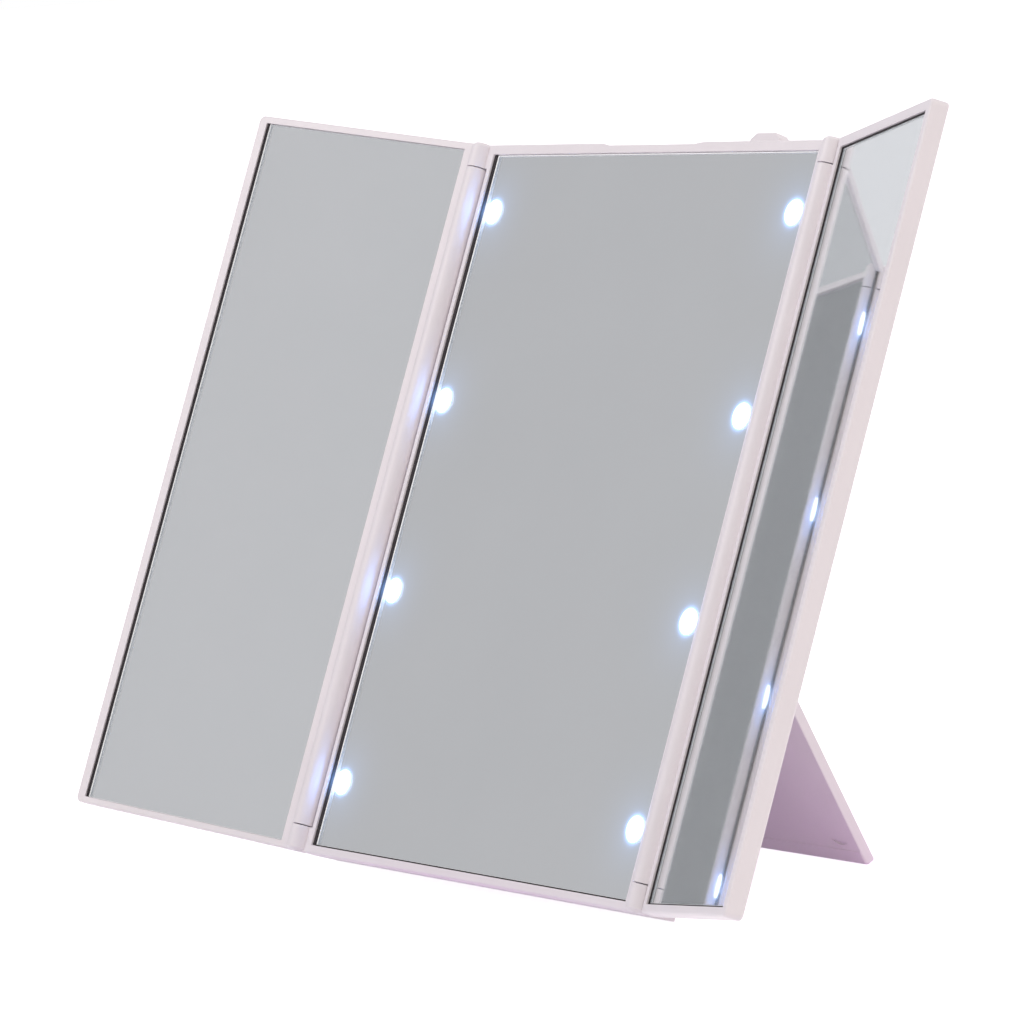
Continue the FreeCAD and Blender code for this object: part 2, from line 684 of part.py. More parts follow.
def make_wing(word, side):
    """A wing's tray with its long hinge barrel, its mirror and the foam tape between them.

    The wing's frame has its X zero on the hinge axis, so that the wing lies flat beside the
    centre panel at X from 0 to the wing's width, times side.
    """
    tray = new_body(f"{word}_wing_tray")
    extrude(tray, "XY_Plane", "-wing_thickness", "0", *[
        rectangle("0", "wing_low", f"{side}*wing_width", "wing_high")])
    width, low, high = number("wing_width"), number("wing_low"), number("wing_high")
    depth = number("-wing_thickness")
    round_edges(tray, "wing_corner", lambda points: all(near(abs(point.x), width)
                                                        for point in points)
                and near(points[0].y, points[-1].y))
    round_edges(tray, "edge_round", lambda points: (
        all(near(point.z, 0) for point in points) or all(near(point.z, depth) for point in points))
        and not all(near(point.x, 0) for point in points))
    edges = [f"{side}*wing_bezel", f"{side}*(wing_bezel + wing_opening)"]
    left, right = edges[::side]
    foot, head = f"(wing_low + {word}_foot_rim)", f"(wing_high - {word}_top_rim)"
    extrude(tray, "XY_Plane", "tape_back", "0", rectangle(left, foot, right, head), cut=True)
    for start, stop in (("wing_low - wing_foot_reach", "barrel_low"),
                        ("barrel_high", "wing_high + wing_top_reach")):
        extrude(tray, "XZ_Plane", start, stop, cut=True, *[circle("0", "axis_lift", "groove_radius")])
    extrude(tray, "XZ_Plane", "barrel_low", "barrel_high", circle("0", "axis_lift", "barrel_radius"))
    bore = "(pin_recess + pin_length + fit_gap)"
    for start, stop in (("barrel_low", f"panel_low + {bore}"),
                        (f"panel_high - {bore}", "barrel_high")):
        extrude(tray, "XZ_Plane", start, stop, cut=True, *[
            circle("0", "axis_lift", "pin_radius + running_gap")])
    end_gap = f"{word}_wing_end_gap"
    pane = (f"({left} + wing_gap_left)", f"({foot} + {end_gap})",
            f"({right} - wing_gap_right)", f"({head} - {end_gap})")
    make_pane(f"{word}_wing_mirror", pane)
    make_tape(f"{word}_wing_tape", (left, foot, right, head), pane)


def make_wing_pins(word, side):
    """The two steel pins of a wing: each is pressed into a knuckle and turns in the barrel."""
    for place, start in (("lower", "(panel_low + pin_recess)"),
                         ("upper", "(panel_high - pin_recess - pin_length)")):
        pin = new_body(f"{word}_hinge_pin_{place}")
        extrude(pin, "XZ_Plane", start, f"{start} + pin_length", *[
            circle(f"{side}*axis_side", "axis_lift", "pin_radius")])


# ---------------------------------------------------------------- kickstand


def make_stand():
    """The kickstand, folded: it hangs down from its axis at the zero point of its own frame."""
    stand = new_body("kickstand")
    half = "stand_thickness/2"
    extrude(stand, "YZ_Plane", "-stand_half_width", "stand_half_width", *[
        rectangle("-stand_length", f"-{half}", "0", half)])
    foot, front = number("-stand_length"), number(half)
    across = number("stand_half_width")
    round_edges(stand, "stand_foot_round", lambda points: all(
        near(point.y, foot) and near(point.z, front) for point in points))
    round_edges(stand, "edge_round", lambda points: all(near(point.z, -front) for point in points)
                and not all(near(point.y, 0) for point in points)
                or all(near(abs(point.x), across) and near(point.y, foot) for point in points))
    extrude(stand, "YZ_Plane", "-stand_half_width", "stand_half_width", circle("0", "0", half))
    extrude(stand, "YZ_Plane", "-stand_half_width", "stand_half_width", *[
        rectangle("-fit_gap", "0", "heel", half)])
    extrude(stand, "XY_Plane", f"{half} - face_sink", half, cut=True, *[rectangle(
        "-stand_half_width - slide_gap", "-stand_length + foot_band",
        "stand_half_width + slide_gap", "-stand_thickness")])
    extrude(stand, "XY_Plane", f"{half} - face_sink - nick_depth", half, cut=True, *[bowl(
        "stand_half_width - nick_side", "-stand_length + nick_up", "nick_radius", "nick_height")])
    for low, high in (("-stand_half_width", "-stand_half_width + stand_pin_grip"),
                      ("stand_half_width - stand_pin_grip", "stand_half_width")):
        extrude(stand, "YZ_Plane", low, high, cut=True, *[
            circle("0", "0", "stand_pin_radius + running_gap")])


def make_stand_pins():
    """The two pins of the kickstand, pressed into the ears of the back cover."""
    reach = "(stand_half_width - stand_pin_grip + fit_gap)"
    for word, low, high in (("left", "-ear_outer", f"-{reach}"), ("right", reach, "ear_outer")):
        pin = new_body(f"stand_pin_{word}")
        extrude(pin, "YZ_Plane", low, high, *[
            circle("stand_axis", "stand_axis_depth", "stand_pin_radius")])


# ---------------------------------------------------------------- batteries


def make_cells():
    """The four cells in series, turned end for end in turn, each with its coil contact."""
    for index in range(SIZES["cell_count"]):
        side = 1 if index % 2 else -1
        height = cell_height(index)
        cell = new_body(f"battery_cell_{index + 1}")
        ends = [f"{side}*(cell_tip - nub_height - cell_length)", f"{side}*(cell_tip - nub_height)",
                f"{side}*cell_tip"]
        for reach, radius in ((0, "cell_radius"), (1, "nub_radius")):
            low, high = sorted((ends[reach], ends[reach + 1]), key=number)
            extrude(cell, "YZ_Plane", low, high, circle(height, "cell_middle", radius))
        make_coil(f"contact_spring_{index + 1}", -side, height)


def make_coil(label, side, height):
    """A conical coil contact that stands on the end wall of the bay and meets a cell."""
    wire = number("spring_wire")
    rise = number("spring_length - 2*spring_wire")
    foot, tip = number("spring_foot"), number("spring_tip")
    slope = math.degrees(math.atan2(tip - foot, rise))
    helix = Part.makeLongHelix(rise/number("spring_turns"), rise, foot, slope)
    start = helix.Edges[0].Vertexes[0].Point
    ring = Part.Wire(Part.makeCircle(wire, start, Vector(0, 1, 0)))
    coil = Part.Wire(helix.Edges).makePipeShell([ring], True, True)
    coil.translate(Vector(0, 0, wire))
    coil.rotate(Vector(0, 0, 0), Vector(0, 1, 0), -90*side)
    coil.translate(Vector(side*number("bay_side - plate_thickness"), number(height),
                          number("cell_middle")))
    spring = doc.addObject("Part::Feature", label)
    spring.Label = label
    spring.Shape = coil


def make_plates():
    """The contact plates on the end walls: two end plates with tabs, three that link cells."""
    last = SIZES["cell_count"] - 1
    plates = [("end_plate_minus", 1, 0, 0), ("end_plate_plus", 1, last, last)]
    plates += [(f"link_plate_{index + 1}", 1 if index % 2 else -1, index, index + 1)
               for index in range(last)]
    for label, side, first, second in plates:
        plate = new_body(label)
        low, high = sorted((f"{side}*(bay_side - plate_thickness)", f"{side}*bay_side"), key=number)
        extrude(plate, "YZ_Plane", low, high, *[rectangle(
            f"{cell_height(first)} - plate_width/2", "cell_middle - plate_width/2",
            f"{cell_height(second)} + plate_width/2", "cell_middle + plate_width/2")])
        if first == second:
            height = cell_height(first)
            extrude(plate, "YZ_Plane", "bay_side - plate_thickness",
                    "bay_side + bay_wall + tab_reach", *[rectangle(
                        f"{height} - tab_width/2", "wire_plane - plate_thickness/2",
                        f"{height} + tab_width/2", "wire_plane + plate_thickness/2")])


def make_battery_door():
    """The door of the battery bay, with a tongue along each side and grip ridges."""
    door = new_body("battery_door")
    extrude(door, "XY_Plane", "block_back", "door_front", *[
        rectangle("-door_side", "door_low", "door_side", "block_high")])
    outside, top = number("block_back"), number("block_high")
    round_edges(door, "block_edge_round", lambda points: all(
        near(point.z, outside) and near(point.y, top) for point in points))
    tongue = "(door_side + tongue_width)"
    extrude(door, "XY_Plane", "door_front - tongue_thickness", "door_front", *[
        rectangle(f"-{tongue}", "door_low", tongue, "block_high - block_round")])
    ridges = [f"(door_low + ({index} + 2)*grip_pitch)" for index in range(SIZES["grip_count"])]
    extrude(door, "XY_Plane", "block_back - grip_height", "block_back", *[
        rectangle("-grip_length/2", f"{ridge} - grip_pitch/4", "grip_length/2",
                  f"{ridge} + grip_pitch/4") for ridge in ridges])


# ---------------------------------------------------------------- power switch


def make_switch():
    """The slide switch: its case with three terminals, the lever, and the knob that grips it."""
    case = new_body("switch_case")
    half = "switch_width/2"
    extrude(case, "XY_Plane", "floor_back - switch_depth", "floor_back", *[
        rectangle(f"knob_place - {half}", "switch_low", f"knob_place + {half}", "switch_top")])
    extrude(case, "XZ_Plane", "switch_top - lever_sink - slide_gap", "switch_top", cut=True, *[
        rectangle("knob_place - switch_travel - lever_width/2 - slide_gap",
                  "switch_middle - stem_depth/2 - slide_gap",
                  "knob_place + lever_width/2 + slide_gap",
                  "switch_middle + stem_depth/2 + slide_gap")])
    extrude(case, "XZ_Plane", "switch_low - terminal_length", "switch_low", *[
        rectangle(f"knob_place + {place}*terminal_pitch - terminal_width/2",
                  "wire_plane - plate_thickness/2",
                  f"knob_place + {place}*terminal_pitch + terminal_width/2",
                  "wire_plane + plate_thickness/2") for place in (-1, 0, 1)])
    lever = new_body("switch_lever")
    extrude(lever, "XZ_Plane", "switch_top - lever_sink", "stem_low + lever_grip - fit_gap", *[
        rectangle("knob_place - lever_width/2", "switch_middle - stem_depth/2",
                  "knob_place + lever_width/2", "switch_middle + stem_depth/2")])
    knob = new_body("power_knob")
    base = "(knob_top/2 + knob_slope)"
    low, high = "switch_middle - knob_depth/2", "switch_middle + knob_depth/2"
    extrude(knob, "XY_Plane", low, high, *[polygon(
        (f"knob_place - {base}", "knob_base"), (f"knob_place + {base}", "knob_base"),
        (f"knob_place + {base}", "knob_base + knob_height - knob_rise"),
        ("knob_place + knob_top/2", "knob_base + knob_height"),
        ("knob_place - knob_top/2", "knob_base + knob_height"),
        (f"knob_place - {base}", "knob_base + knob_height - knob_rise"))])
    top, slope = number("knob_base + knob_height"), number("knob_base + knob_height - knob_rise")
    round_edges(knob, "knob_round", lambda points: all(
        near(point.y, top) or near(point.y, slope) for point in points))
    extrude(knob, "XY_Plane", "switch_middle - stem_depth/2", "switch_middle + stem_depth/2", *[
        rectangle("knob_place - stem_width/2", "stem_low", "knob_place + stem_width/2",
                  "knob_base + edge_round")])
    extrude(knob, "XY_Plane", "switch_middle - stem_depth/2", "switch_middle + stem_depth/2",
            cut=True, *[rectangle("knob_place - lever_width/2 - fit_gap", "stem_low",
                                  "knob_place + lever_width/2 + fit_gap",
                                  "stem_low + lever_grip")])


# ---------------------------------------------------------------- wires and screws


def make_wire(label, plane, *corners):
    """A wire in a plane of the panel: straight runs joined by arcs as large as they allow."""
    height = number(plane)
    points = [Vector(number(across), number(along), height) for across, along in corners]
    edges = []
    start = points[0]
    for before, corner, after in zip(points, points[1:], points[2:]):
        into = (before - corner).normalize()
        out = (after - corner).normalize()
        setback = BEND_SHARE*min(before.distanceToPoint(corner), corner.distanceToPoint(after))
        bend = math.pi - into.getAngle(out)
        radius = setback/math.tan(bend/2)
        middle = corner + (into + out).normalize()*(radius/math.cos(bend/2) - radius)
        edges.append(Part.LineSegment(start, corner + into*setback).toShape())
        edges.append(Part.Arc(corner + into*setback, middle, corner + out*setback).toShape())
        start = corner + out*setback
    edges.append(Part.LineSegment(start, points[-1]).toShape())
    path = Part.Wire(edges)
    ring = Part.Wire(Part.makeCircle(number("wire_radius"), points[0], points[1] - points[0]))
    wire = doc.addObject("Part::Feature", label)
    wire.Label = label
    wire.Shape = path.makePipeShell([ring], True, False)


def make_wires():
    """The five wires: battery to switch and board, switch to board, and board to board."""
    tab = "(bay_side + bay_wall + tab_reach)"
    upper, lower = cell_height("(cell_count - 1)"), cell_height(0)
    board = "(lamp_side - board_width/2 + wire_radius)"
    terminal = "(switch_low - terminal_length)"
    first = "(knob_place - terminal_pitch)"
    bend = "(bay_side + bay_wall + 2*tab_reach)"
    make_wire("wire_battery_plus", "wire_plane", (tab, upper), (first, upper), (first, terminal))
    make_wire("wire_battery_minus", "wire_plane", (tab, lower), (bend, lower),
              (f"{bend} + cell_pitch", f"{lower} - cell_pitch/2"), (board, f"{lower} - cell_pitch/2"))
    switched = "(screw_high - post_radius - cell_pitch/2)"
    make_wire("wire_switched", "wire_plane", ("knob_place", terminal), ("knob_place", switched),
              (board, switched))
    for word, level in (("plus", 1), ("minus", 3)):
        start = f"(board_low + {level}*wire_pitch)"
        trough = f"(cavity_low + {level}*wire_pitch)"
        make_wire(f"wire_across_{word}", "chip_back + wire_radius + fit_gap/2", (board, start),
                  ("screw_side", trough), ("0", f"{trough} + wire_radius"),
                  ("-screw_side", trough), (f"-{board}", start))


def make_screws():
    """The six self-tapping screws that hold the back cover on the frame."""
    seat = number("cover_back + screw_head_height")
    radius, head = number("screw_radius"), number("screw_head_radius")
    long_side, short_side = number("cross_length"), number("cross_width")
    screws = []
    for across, along in screw_places():
        place = Vector(number(across), number(along), seat)
        shank = Part.makeCylinder(radius, number("screw_length"), place)
        cap = Part.makeCylinder(head, number("screw_head_height"), place, Vector(0, 0, -1))
        screw = shank.fuse(cap)
        for arm in ((long_side, short_side), (short_side, long_side)):
            slot = Part.makeBox(*arm, number("cross_depth"))
            slot.translate(place - Vector(arm[0]/2, arm[1]/2, number("screw_head_height")))
            screw = screw.cut(slot)
        screws.append(screw.removeSplitter())
    group = doc.addObject("Part::Feature", "case_screws")
    group.Label = "case_screws"
    group.Shape = Part.Compound([solid for screw in screws for solid in screw.Solids])


# ---------------------------------------------------------------- build, place and write


def build():
    """Make every sub-part in the frame of the panel that carries it."""
    make_centre_frame()
    make_back_cover()
    make_centre_glass()
    for word, side in (("left", -1), ("right", 1)):
        make_lights(word, side)
        make_wing(word, side)
        make_wing_pins(word, side)
    make_stand()
    make_stand_pins()
    make_cells()
    make_plates()
    make_battery_door()
    make_switch()
    make_wires()
    make_screws()
    doc.recompute()


def lean_angle():
    """The lean at which the edge of the back cover and the stand's foot are level."""
    opened = math.radians(number("stand_open"))
    foot_round = number("stand_foot_round")
    down = number("-stand_length") + foot_round
    front = number("stand_thickness/2") - foot_round
    foot_up = number("stand_axis") + down*math.cos(opened) - front*math.sin(opened)
    foot_out = number("stand_axis_depth") + down*math.sin(opened) + front*math.cos(opened)
    rise = foot_up - number("panel_low + draft_in")
    reach = foot_out - number("slope_start")
    return math.atan2(reach, rise) + math.acos(foot_round/math.hypot(rise, reach))


def about(origin, axis, degrees):
    """A placement that turns about an axis through a point."""
    turn = Rotation(axis, degrees)
    return Placement(origin - turn.multVec(origin), turn)


def place_nodes(nodes):
    """Open the wings and the stand, lean the panel back, and centre the foot print."""
    lean = Placement(Vector(0, 0, 0), Rotation(Vector(1, 0, 0), 90 - math.degrees(lean_angle())))
    lift = number("axis_lift")
    for node in nodes:
        own = Placement()
        for word, side in (("left", -1), ("right", 1)):
            if node.Label.startswith(f"{word}_wing"):
                hinge = Vector(side*number("axis_side"), 0, lift)
                turn = about(hinge, Vector(0, 1, 0), -side*number(f"{word}_wing_open"))
                own = turn.multiply(Placement(Vector(hinge.x, 0, 0), Rotation()))
        if node.Label == "kickstand":
            hinge = Vector(0, number("stand_axis"), number("stand_axis_depth"))
            own = about(hinge, Vector(1, 0, 0), number("stand_open"))
            own = own.multiply(Placement(hinge, Rotation()))
        node.Placement = lean.multiply(own).multiply(node.Placement)
    box = FreeCAD.BoundBox()
    for node in nodes:
        box.add(node.Shape.optimalBoundingBox(False))
    middle = Placement(Vector(-box.Center.x, -box.Center.y, -box.ZMin), Rotation())
    for node in nodes:
        node.Placement = middle.multiply(node.Placement)
    return middle.multiply(lean)


def check(nodes):
    """Stop where a feature failed, a pocket removed nothing or a shape is not sound."""
    for item in doc.Objects:
        if "Invalid" in item.State or "Error" in item.State:
            raise RuntimeError(f"{item.Name} failed: {item.State}")
    for pocket in CUTS:
        if not pocket.Shape.Volume < pocket.BaseFeature.Shape.Volume - 1e-6:
            raise RuntimeError(f"{pocket.Name} removes nothing")
    for node in nodes:
        shape = node.Shape
        if shape.isNull() or not shape.isValid() or not shape.Solids:
            raise RuntimeError(f"{node.Label} has no sound shape")
        if len(shape.Solids) > 1 and node.Label != "case_screws":
            raise RuntimeError(f"{node.Label} is in {len(shape.Solids)} pieces")


build()
NODES = [item for item in doc.Objects if item.TypeId in ("PartDesign::Body", "Part::Feature")]
FRAME = place_nodes(NODES)
doc.recompute()
check(NODES)
os.makedirs("parts", exist_ok=True)
for part_node in NODES:
    part_node.Shape.exportStep(f"parts/{part_node.Label}.step")


def told(vector):
    """A point or direction as rounded numbers, for the log."""
    return [round(value, 4) for value in vector]


print(f"{len(NODES)} nodes, lean {math.degrees(lean_angle()):.3f} degrees")
print("panel zero point", told(FRAME.Base))
for name, vector in (("across", Vector(1, 0, 0)), ("up", Vector(0, 1, 0)), ("front", Vector(0, 0, 1))):
    print("panel", name, told(FRAME.Rotation.multVec(vector)))
for word, side in (("left", -1), ("right", 1)):
    print(word, "wing axis", told(FRAME.multVec(Vector(side*number("axis_side"), 0,
                                                       number("axis_lift")))))
print("stand axis", told(FRAME.multVec(Vector(0, number("stand_axis"), number("stand_axis_depth")))))
print("rest face", told(FRAME.multVec(Vector(number("(chamber_side + block_width/2)/2"),
                                             number("(block_low + block_high)/2"),
                                             number("block_back")))))
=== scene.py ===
"""Looks of a trifold vanity mirror: moulded shells, silvered panes with lit windows, and a studio.

The shells, pins, cells and other hard pieces are the frame's own nodes and only get their finish.
The three mirror panes are made here, because a pane is clear glass with a ground border, silver on
its back and sides, and in the middle pane eight round windows where the silver is left out.
"""
import json
import logging
import math
from dataclasses import dataclass
from enum import Enum, IntEnum
from typing import ClassVar, Iterable, Sequence

import bmesh
import bpy
from mathutils import Matrix, Vector


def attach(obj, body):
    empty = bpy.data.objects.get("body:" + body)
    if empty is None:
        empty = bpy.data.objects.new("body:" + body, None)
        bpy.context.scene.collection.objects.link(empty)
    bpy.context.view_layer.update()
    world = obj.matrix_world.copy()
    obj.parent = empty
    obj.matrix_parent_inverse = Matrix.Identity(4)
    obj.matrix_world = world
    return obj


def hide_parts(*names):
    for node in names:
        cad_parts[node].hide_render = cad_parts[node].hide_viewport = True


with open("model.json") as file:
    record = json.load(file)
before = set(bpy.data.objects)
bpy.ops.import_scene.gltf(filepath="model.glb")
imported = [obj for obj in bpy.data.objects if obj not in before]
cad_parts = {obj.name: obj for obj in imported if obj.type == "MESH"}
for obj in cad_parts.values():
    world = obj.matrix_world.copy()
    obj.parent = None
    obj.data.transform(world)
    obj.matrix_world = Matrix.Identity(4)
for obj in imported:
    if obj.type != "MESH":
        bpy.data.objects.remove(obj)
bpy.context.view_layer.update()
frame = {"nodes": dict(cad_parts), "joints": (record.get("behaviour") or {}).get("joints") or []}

MM = 0.001
Colour = tuple[float, float, float]
Span = tuple[float, float]
Fade = tuple[float, float]
Socket = bpy.types.NodeSocket
log = logging.getLogger("vanity_mirror")


class Side(Enum):
    """The side of the centre panel, as the sign of its X."""

    LEFT = -1
    RIGHT = 1


class PaneFinish(IntEnum):
    """The finishes of a mirror pane, by their place among its materials."""

    GLASS = 0
    BORDER = 1
    SILVER = 2
    WINDOW = 3


# ------------------------------------------------------------------ places on the mirror


@dataclass(frozen=True)
class PanelAxes:
    """A panel's own frame: a zero point, and its directions across, up and out of its front."""

    zero: Vector
    across: Vector
    up: Vector
    front: Vector

    def place(self, across: float, up: float, front: float) -> Vector:
        """The point at the given distances along the panel's axes, in metres."""
        return self.zero + self.across*across + self.up*up + self.front*front

    def matrix(self) -> Matrix:
        """The matrix that takes panel coordinates to the row's frame."""
        turn = Matrix((self.across, self.up, self.front)).transposed().to_4x4()
        return Matrix.Translation(self.zero) @ turn

    def extent(self, node: str) -> tuple[Vector, Vector]:
        """Measure a node along the panel's axes.

        Args:
            node: The node's name in the frame.

        Returns:
            The lowest and the highest corner in panel coordinates.
        """
        back = self.matrix().inverted()
        points = [back @ vertex.co for vertex in frame["nodes"][node].data.vertices]
        low = Vector(min(point[axis] for point in points) for axis in range(3))
        high = Vector(max(point[axis] for point in points) for axis in range(3))
        return low, high


def joint_named(name: str) -> dict:
    """The joint of that name in the frame."""
    return next(joint for joint in frame["joints"] if joint["name"] == name)


@dataclass(frozen=True)
class MirrorLayout:
    """Where the three panels stand, read from the hinges of the wings."""

    axis_lift: float = 0.25*MM

    def centre(self) -> PanelAxes:
        """Find the centre panel's axes.

        Returns:
            The axes, with their zero on the bezel at the bottom middle of the opening.
        """
        left, right = joint_named("left_wing_hinge"), joint_named("right_wing_hinge")
        start, stop = Vector(left["pos_m"]), Vector(right["pos_m"])
        across = (stop - start).normalized()
        up = Vector(left["axis"]).normalized()
        front = across.cross(up)
        return PanelAxes((start + stop)/2 - front*self.axis_lift, across, up, front)

    def wing(self, side: Side) -> PanelAxes:
        """Find a wing's axes, turned with it about its hinge.

        Args:
            side: Which wing.

        Returns:
            The axes, with their zero on the hinge's axis and across to the viewer's right, as on
            the centre panel.
        """
        joint = joint_named(f"{side.name.lower()}_wing_hinge")
        centre = self.centre()
        opened = math.radians(joint["range_deg"][0])*side.value
        turn = Matrix.Rotation(opened, 3, centre.up)
        front = turn @ centre.front
        return PanelAxes(Vector(joint["pos_m"]) - front*self.axis_lift,
                         turn @ centre.across, centre.up, front)


@dataclass(frozen=True)
class LampRows:
    """The two rows of round windows in the centre mirror."""

    inset: float
    first: float
    pitch: float
    count: int
    radius: float = 3.2*MM

    @classmethod
    def over_chips(cls, axes: PanelAxes) -> "LampRows":
        """Place a window over each lamp chip of the frame.

        Args:
            axes: The centre panel's axes.

        Returns:
            The rows of windows.
        """
        chips = [name for name in frame["nodes"] if name.startswith("led_chip_right_")]
        middles = [sum(axes.extent(name), Vector())/2 for name in chips]
        heights = sorted(middle.y for middle in middles)
        inset = sum(middle.x for middle in middles)/len(middles)
        return cls(inset, heights[0], (heights[-1] - heights[0])/(len(chips) - 1), len(chips))

    def places(self) -> list[tuple[float, float]]:
        """The middle of each window, across and up the centre panel."""
        return [(side.value*self.inset, self.first + index*self.pitch)
                for side in Side for index in range(self.count)]


# ------------------------------------------------------------------ nodes


class NodeSet:
    """A node tree under construction, of a finish or of the surroundings."""

    def __init__(self, tree: bpy.types.NodeTree) -> None:
        """Start with an empty tree.

        Args:
            tree: The tree to fill.
        """
        self.tree = tree
        self.tree.nodes.clear()

    def add(self, kind: str, **settings: object) -> bpy.types.ShaderNode:
        """Add a node and set its plain properties.

        Args:
            kind: Blender's name of the node's type.
            settings: The properties by name.

        Returns:
            The node.
        """
        node = self.tree.nodes.new(kind)
        for name, value in settings.items():
            setattr(node, name, value)
        return node

    def join(self, source: Socket, target: Socket) -> None:
        """Link an output to an input."""
        self.tree.links.new(source, target)

    def feed(self, term: float | Socket, target: Socket) -> None:
        """Give an input its value.

        Args:
            term: A number, or the output of another node.
            target: The input.
        """
        if isinstance(term, Socket):
            self.join(term, target)
        else:
            target.default_value = term


class Recipe(NodeSet):
    """The node material of a finish under construction."""

    def __init__(self, name: str) -> None:
        """Start with the material's output and one main shader.

        Args:
            name: The material's name.
        """
        self.material = bpy.data.materials.new(name)
        self.material.use_nodes = True
        super().__init__(self.material.node_tree)
        self.main = self.add("ShaderNodeBsdfPrincipled")
        output = self.add("ShaderNodeOutputMaterial")
        self.join(self.main.outputs["BSDF"], output.inputs["Surface"])
        self.place = self.add("ShaderNodeTexCoord").outputs["Object"]

    def set(self, **values: object) -> None:
        """Set sockets of the main shader; underscores in a name stand for spaces."""
        for name, value in values.items():
            self.main.inputs[name.replace("_", " ")].default_value = value

    def math(self, operation: str, *terms: float | Socket) -> Socket:
        """Add a math node.

        Args:
            operation: Blender's name of the operation.
            terms: Its inputs in order, each a number or a socket.

        Returns:
            The node's result.
        """
        node = self.add("ShaderNodeMath", operation=operation)
        for target, term in zip(node.inputs, terms):
            self.feed(term, target)
        return node.outputs[0]

    def noise(self, grain: float, detail: float = 3.0, place: Socket | None = None) -> Socket:
        """Add noise.

        Args:
            grain: About how wide its lumps are, in metres.
            detail: How many times it is laid over itself at a finer grain.
            place: Where it is sampled, or None for the piece's own coordinates.

        Returns:
            The noise, between 0 and 1.
        """
        node = self.add("ShaderNodeTexNoise")
        node.inputs["Scale"].default_value = 1/grain
        node.inputs["Detail"].default_value = detail
        self.join(place or self.place, node.inputs["Vector"])
        return node.outputs["Fac"]

    def shades(self, factor: Socket, first: Sequence[float], second: Sequence[float],
               span: Span = (0.3, 0.7)) -> Socket:
        """Blend two colours by a factor.

        Args:
            factor: What drives the blend.
            first: The colour where the factor is low.
            second: The colour where it is high.
            span: The factors at which the blend starts and ends.

        Returns:
            The blended colour.
        """
        ramp = self.add("ShaderNodeValToRGB")
        start, stop = ramp.color_ramp.elements
        start.position, stop.position = span
        start.color, stop.color = (*first, 1), (*second, 1)
        self.join(factor, ramp.inputs["Fac"])
        return ramp.outputs["Color"]

    def colour(self, source: Socket) -> None:
        """Let a socket drive the base colour."""
        self.join(source, self.main.inputs["Base Color"])

    def rough(self, source: Socket, span: Span) -> None:
        """Let a factor drive the roughness.

        Args:
            source: The factor, between 0 and 1.
            span: The roughness at 0 and at 1.
        """
        node = self.add("ShaderNodeMapRange")
        node.inputs["To Min"].default_value, node.inputs["To Max"].default_value = span
        self.join(source, node.inputs["Value"])
        self.join(node.outputs["Result"], self.main.inputs["Roughness"])

    def bump(self, height: Socket, depth: float) -> None:
        """Raise the surface by a height map.

        Args:
            height: The map, between 0 and 1.
            depth: How far it raises the surface, in metres.
        """
        node = self.add("ShaderNodeBump")
        node.inputs["Distance"].default_value = depth
        node.inputs["Strength"].default_value = 1.0
        self.join(height, node.inputs["Height"])
        self.join(node.outputs["Normal"], self.main.inputs["Normal"])


# ------------------------------------------------------------------ finishes


def srgb(red: int, green: int, blue: int) -> Colour:
    """Turn a colour as it shows on a screen into linear light.

    Args:
        red: Its red, 0 to 255.
        green: Its green, 0 to 255.
        blue: Its blue, 0 to 255.

    Returns:
        The colour as linear light, 0 to 1.
    """
    def linear(value: int) -> float:
        """One channel as linear light."""
        share = value/255
        return share/12.92 if share <= 0.04045 else ((share + 0.055)/1.055)**2.4
    return linear(red), linear(green), linear(blue)


def scaled(colour: Sequence[float], share: float) -> tuple[float, ...]:
    """A colour made darker or lighter by a share."""
    return tuple(min(1.0, channel*share) for channel in colour)


@dataclass(frozen=True)
class PaintedWindowGlow:
    """A painted glow of light round each lit window: emission on the surfaces nearby, by the distance
    from its rim.
    """

    axes: PanelAxes
    lamps: LampRows
    # The colour of the painted glow.
    colour: Colour = (0.22, 0.47, 1.0)

    def light(self, recipe: Recipe, *fades: Fade) -> None:
        """Paint a glow of the windows' light on a surface near them.

        Args:
            recipe: The material under construction.
            fades: Pairs of the painted glow at a window's rim and the distance over which it falls to
                about a third.
        """
        away = recipe.math("MAXIMUM", self.distance(recipe), 0.0)
        total = 0.0
        for strength, reach in fades:
            share = recipe.math("EXPONENT", recipe.math("DIVIDE", away, -reach))
            total = recipe.math("MULTIPLY_ADD", share, strength, total)
        recipe.set(Emission_Color=(*self.colour, 1))
        recipe.join(total, recipe.main.inputs["Emission Strength"])

    def distance(self, recipe: Recipe) -> Socket:
        """Measure how far each point is from the nearest window.

        Args:
            recipe: The material under construction.

        Returns:
            The distance in metres from the window's rim, negative inside the window.
        """
        parts = []
        for direction in (self.axes.across, self.axes.up):
            dot = recipe.add("ShaderNodeVectorMath", operation="DOT_PRODUCT")
            recipe.join(recipe.place, dot.inputs[0])
            dot.inputs[1].default_value = direction
            parts.append(recipe.math("SUBTRACT", dot.outputs["Value"],
                                     self.axes.zero.dot(direction)))
        sideways = recipe.math("SUBTRACT", recipe.math("ABSOLUTE", parts[0]), self.lamps.inset)
        half = self.lamps.pitch/2
        along = recipe.math("WRAP", recipe.math("SUBTRACT", parts[1], self.lamps.first), half, -half)
        squares = recipe.math("ADD", recipe.math("POWER", recipe.math("ABSOLUTE", sideways), 2.0),
                              recipe.math("POWER", recipe.math("ABSOLUTE", along), 2.0))
        return recipe.math("SUBTRACT", recipe.math("SQRT", squares), self.lamps.radius)


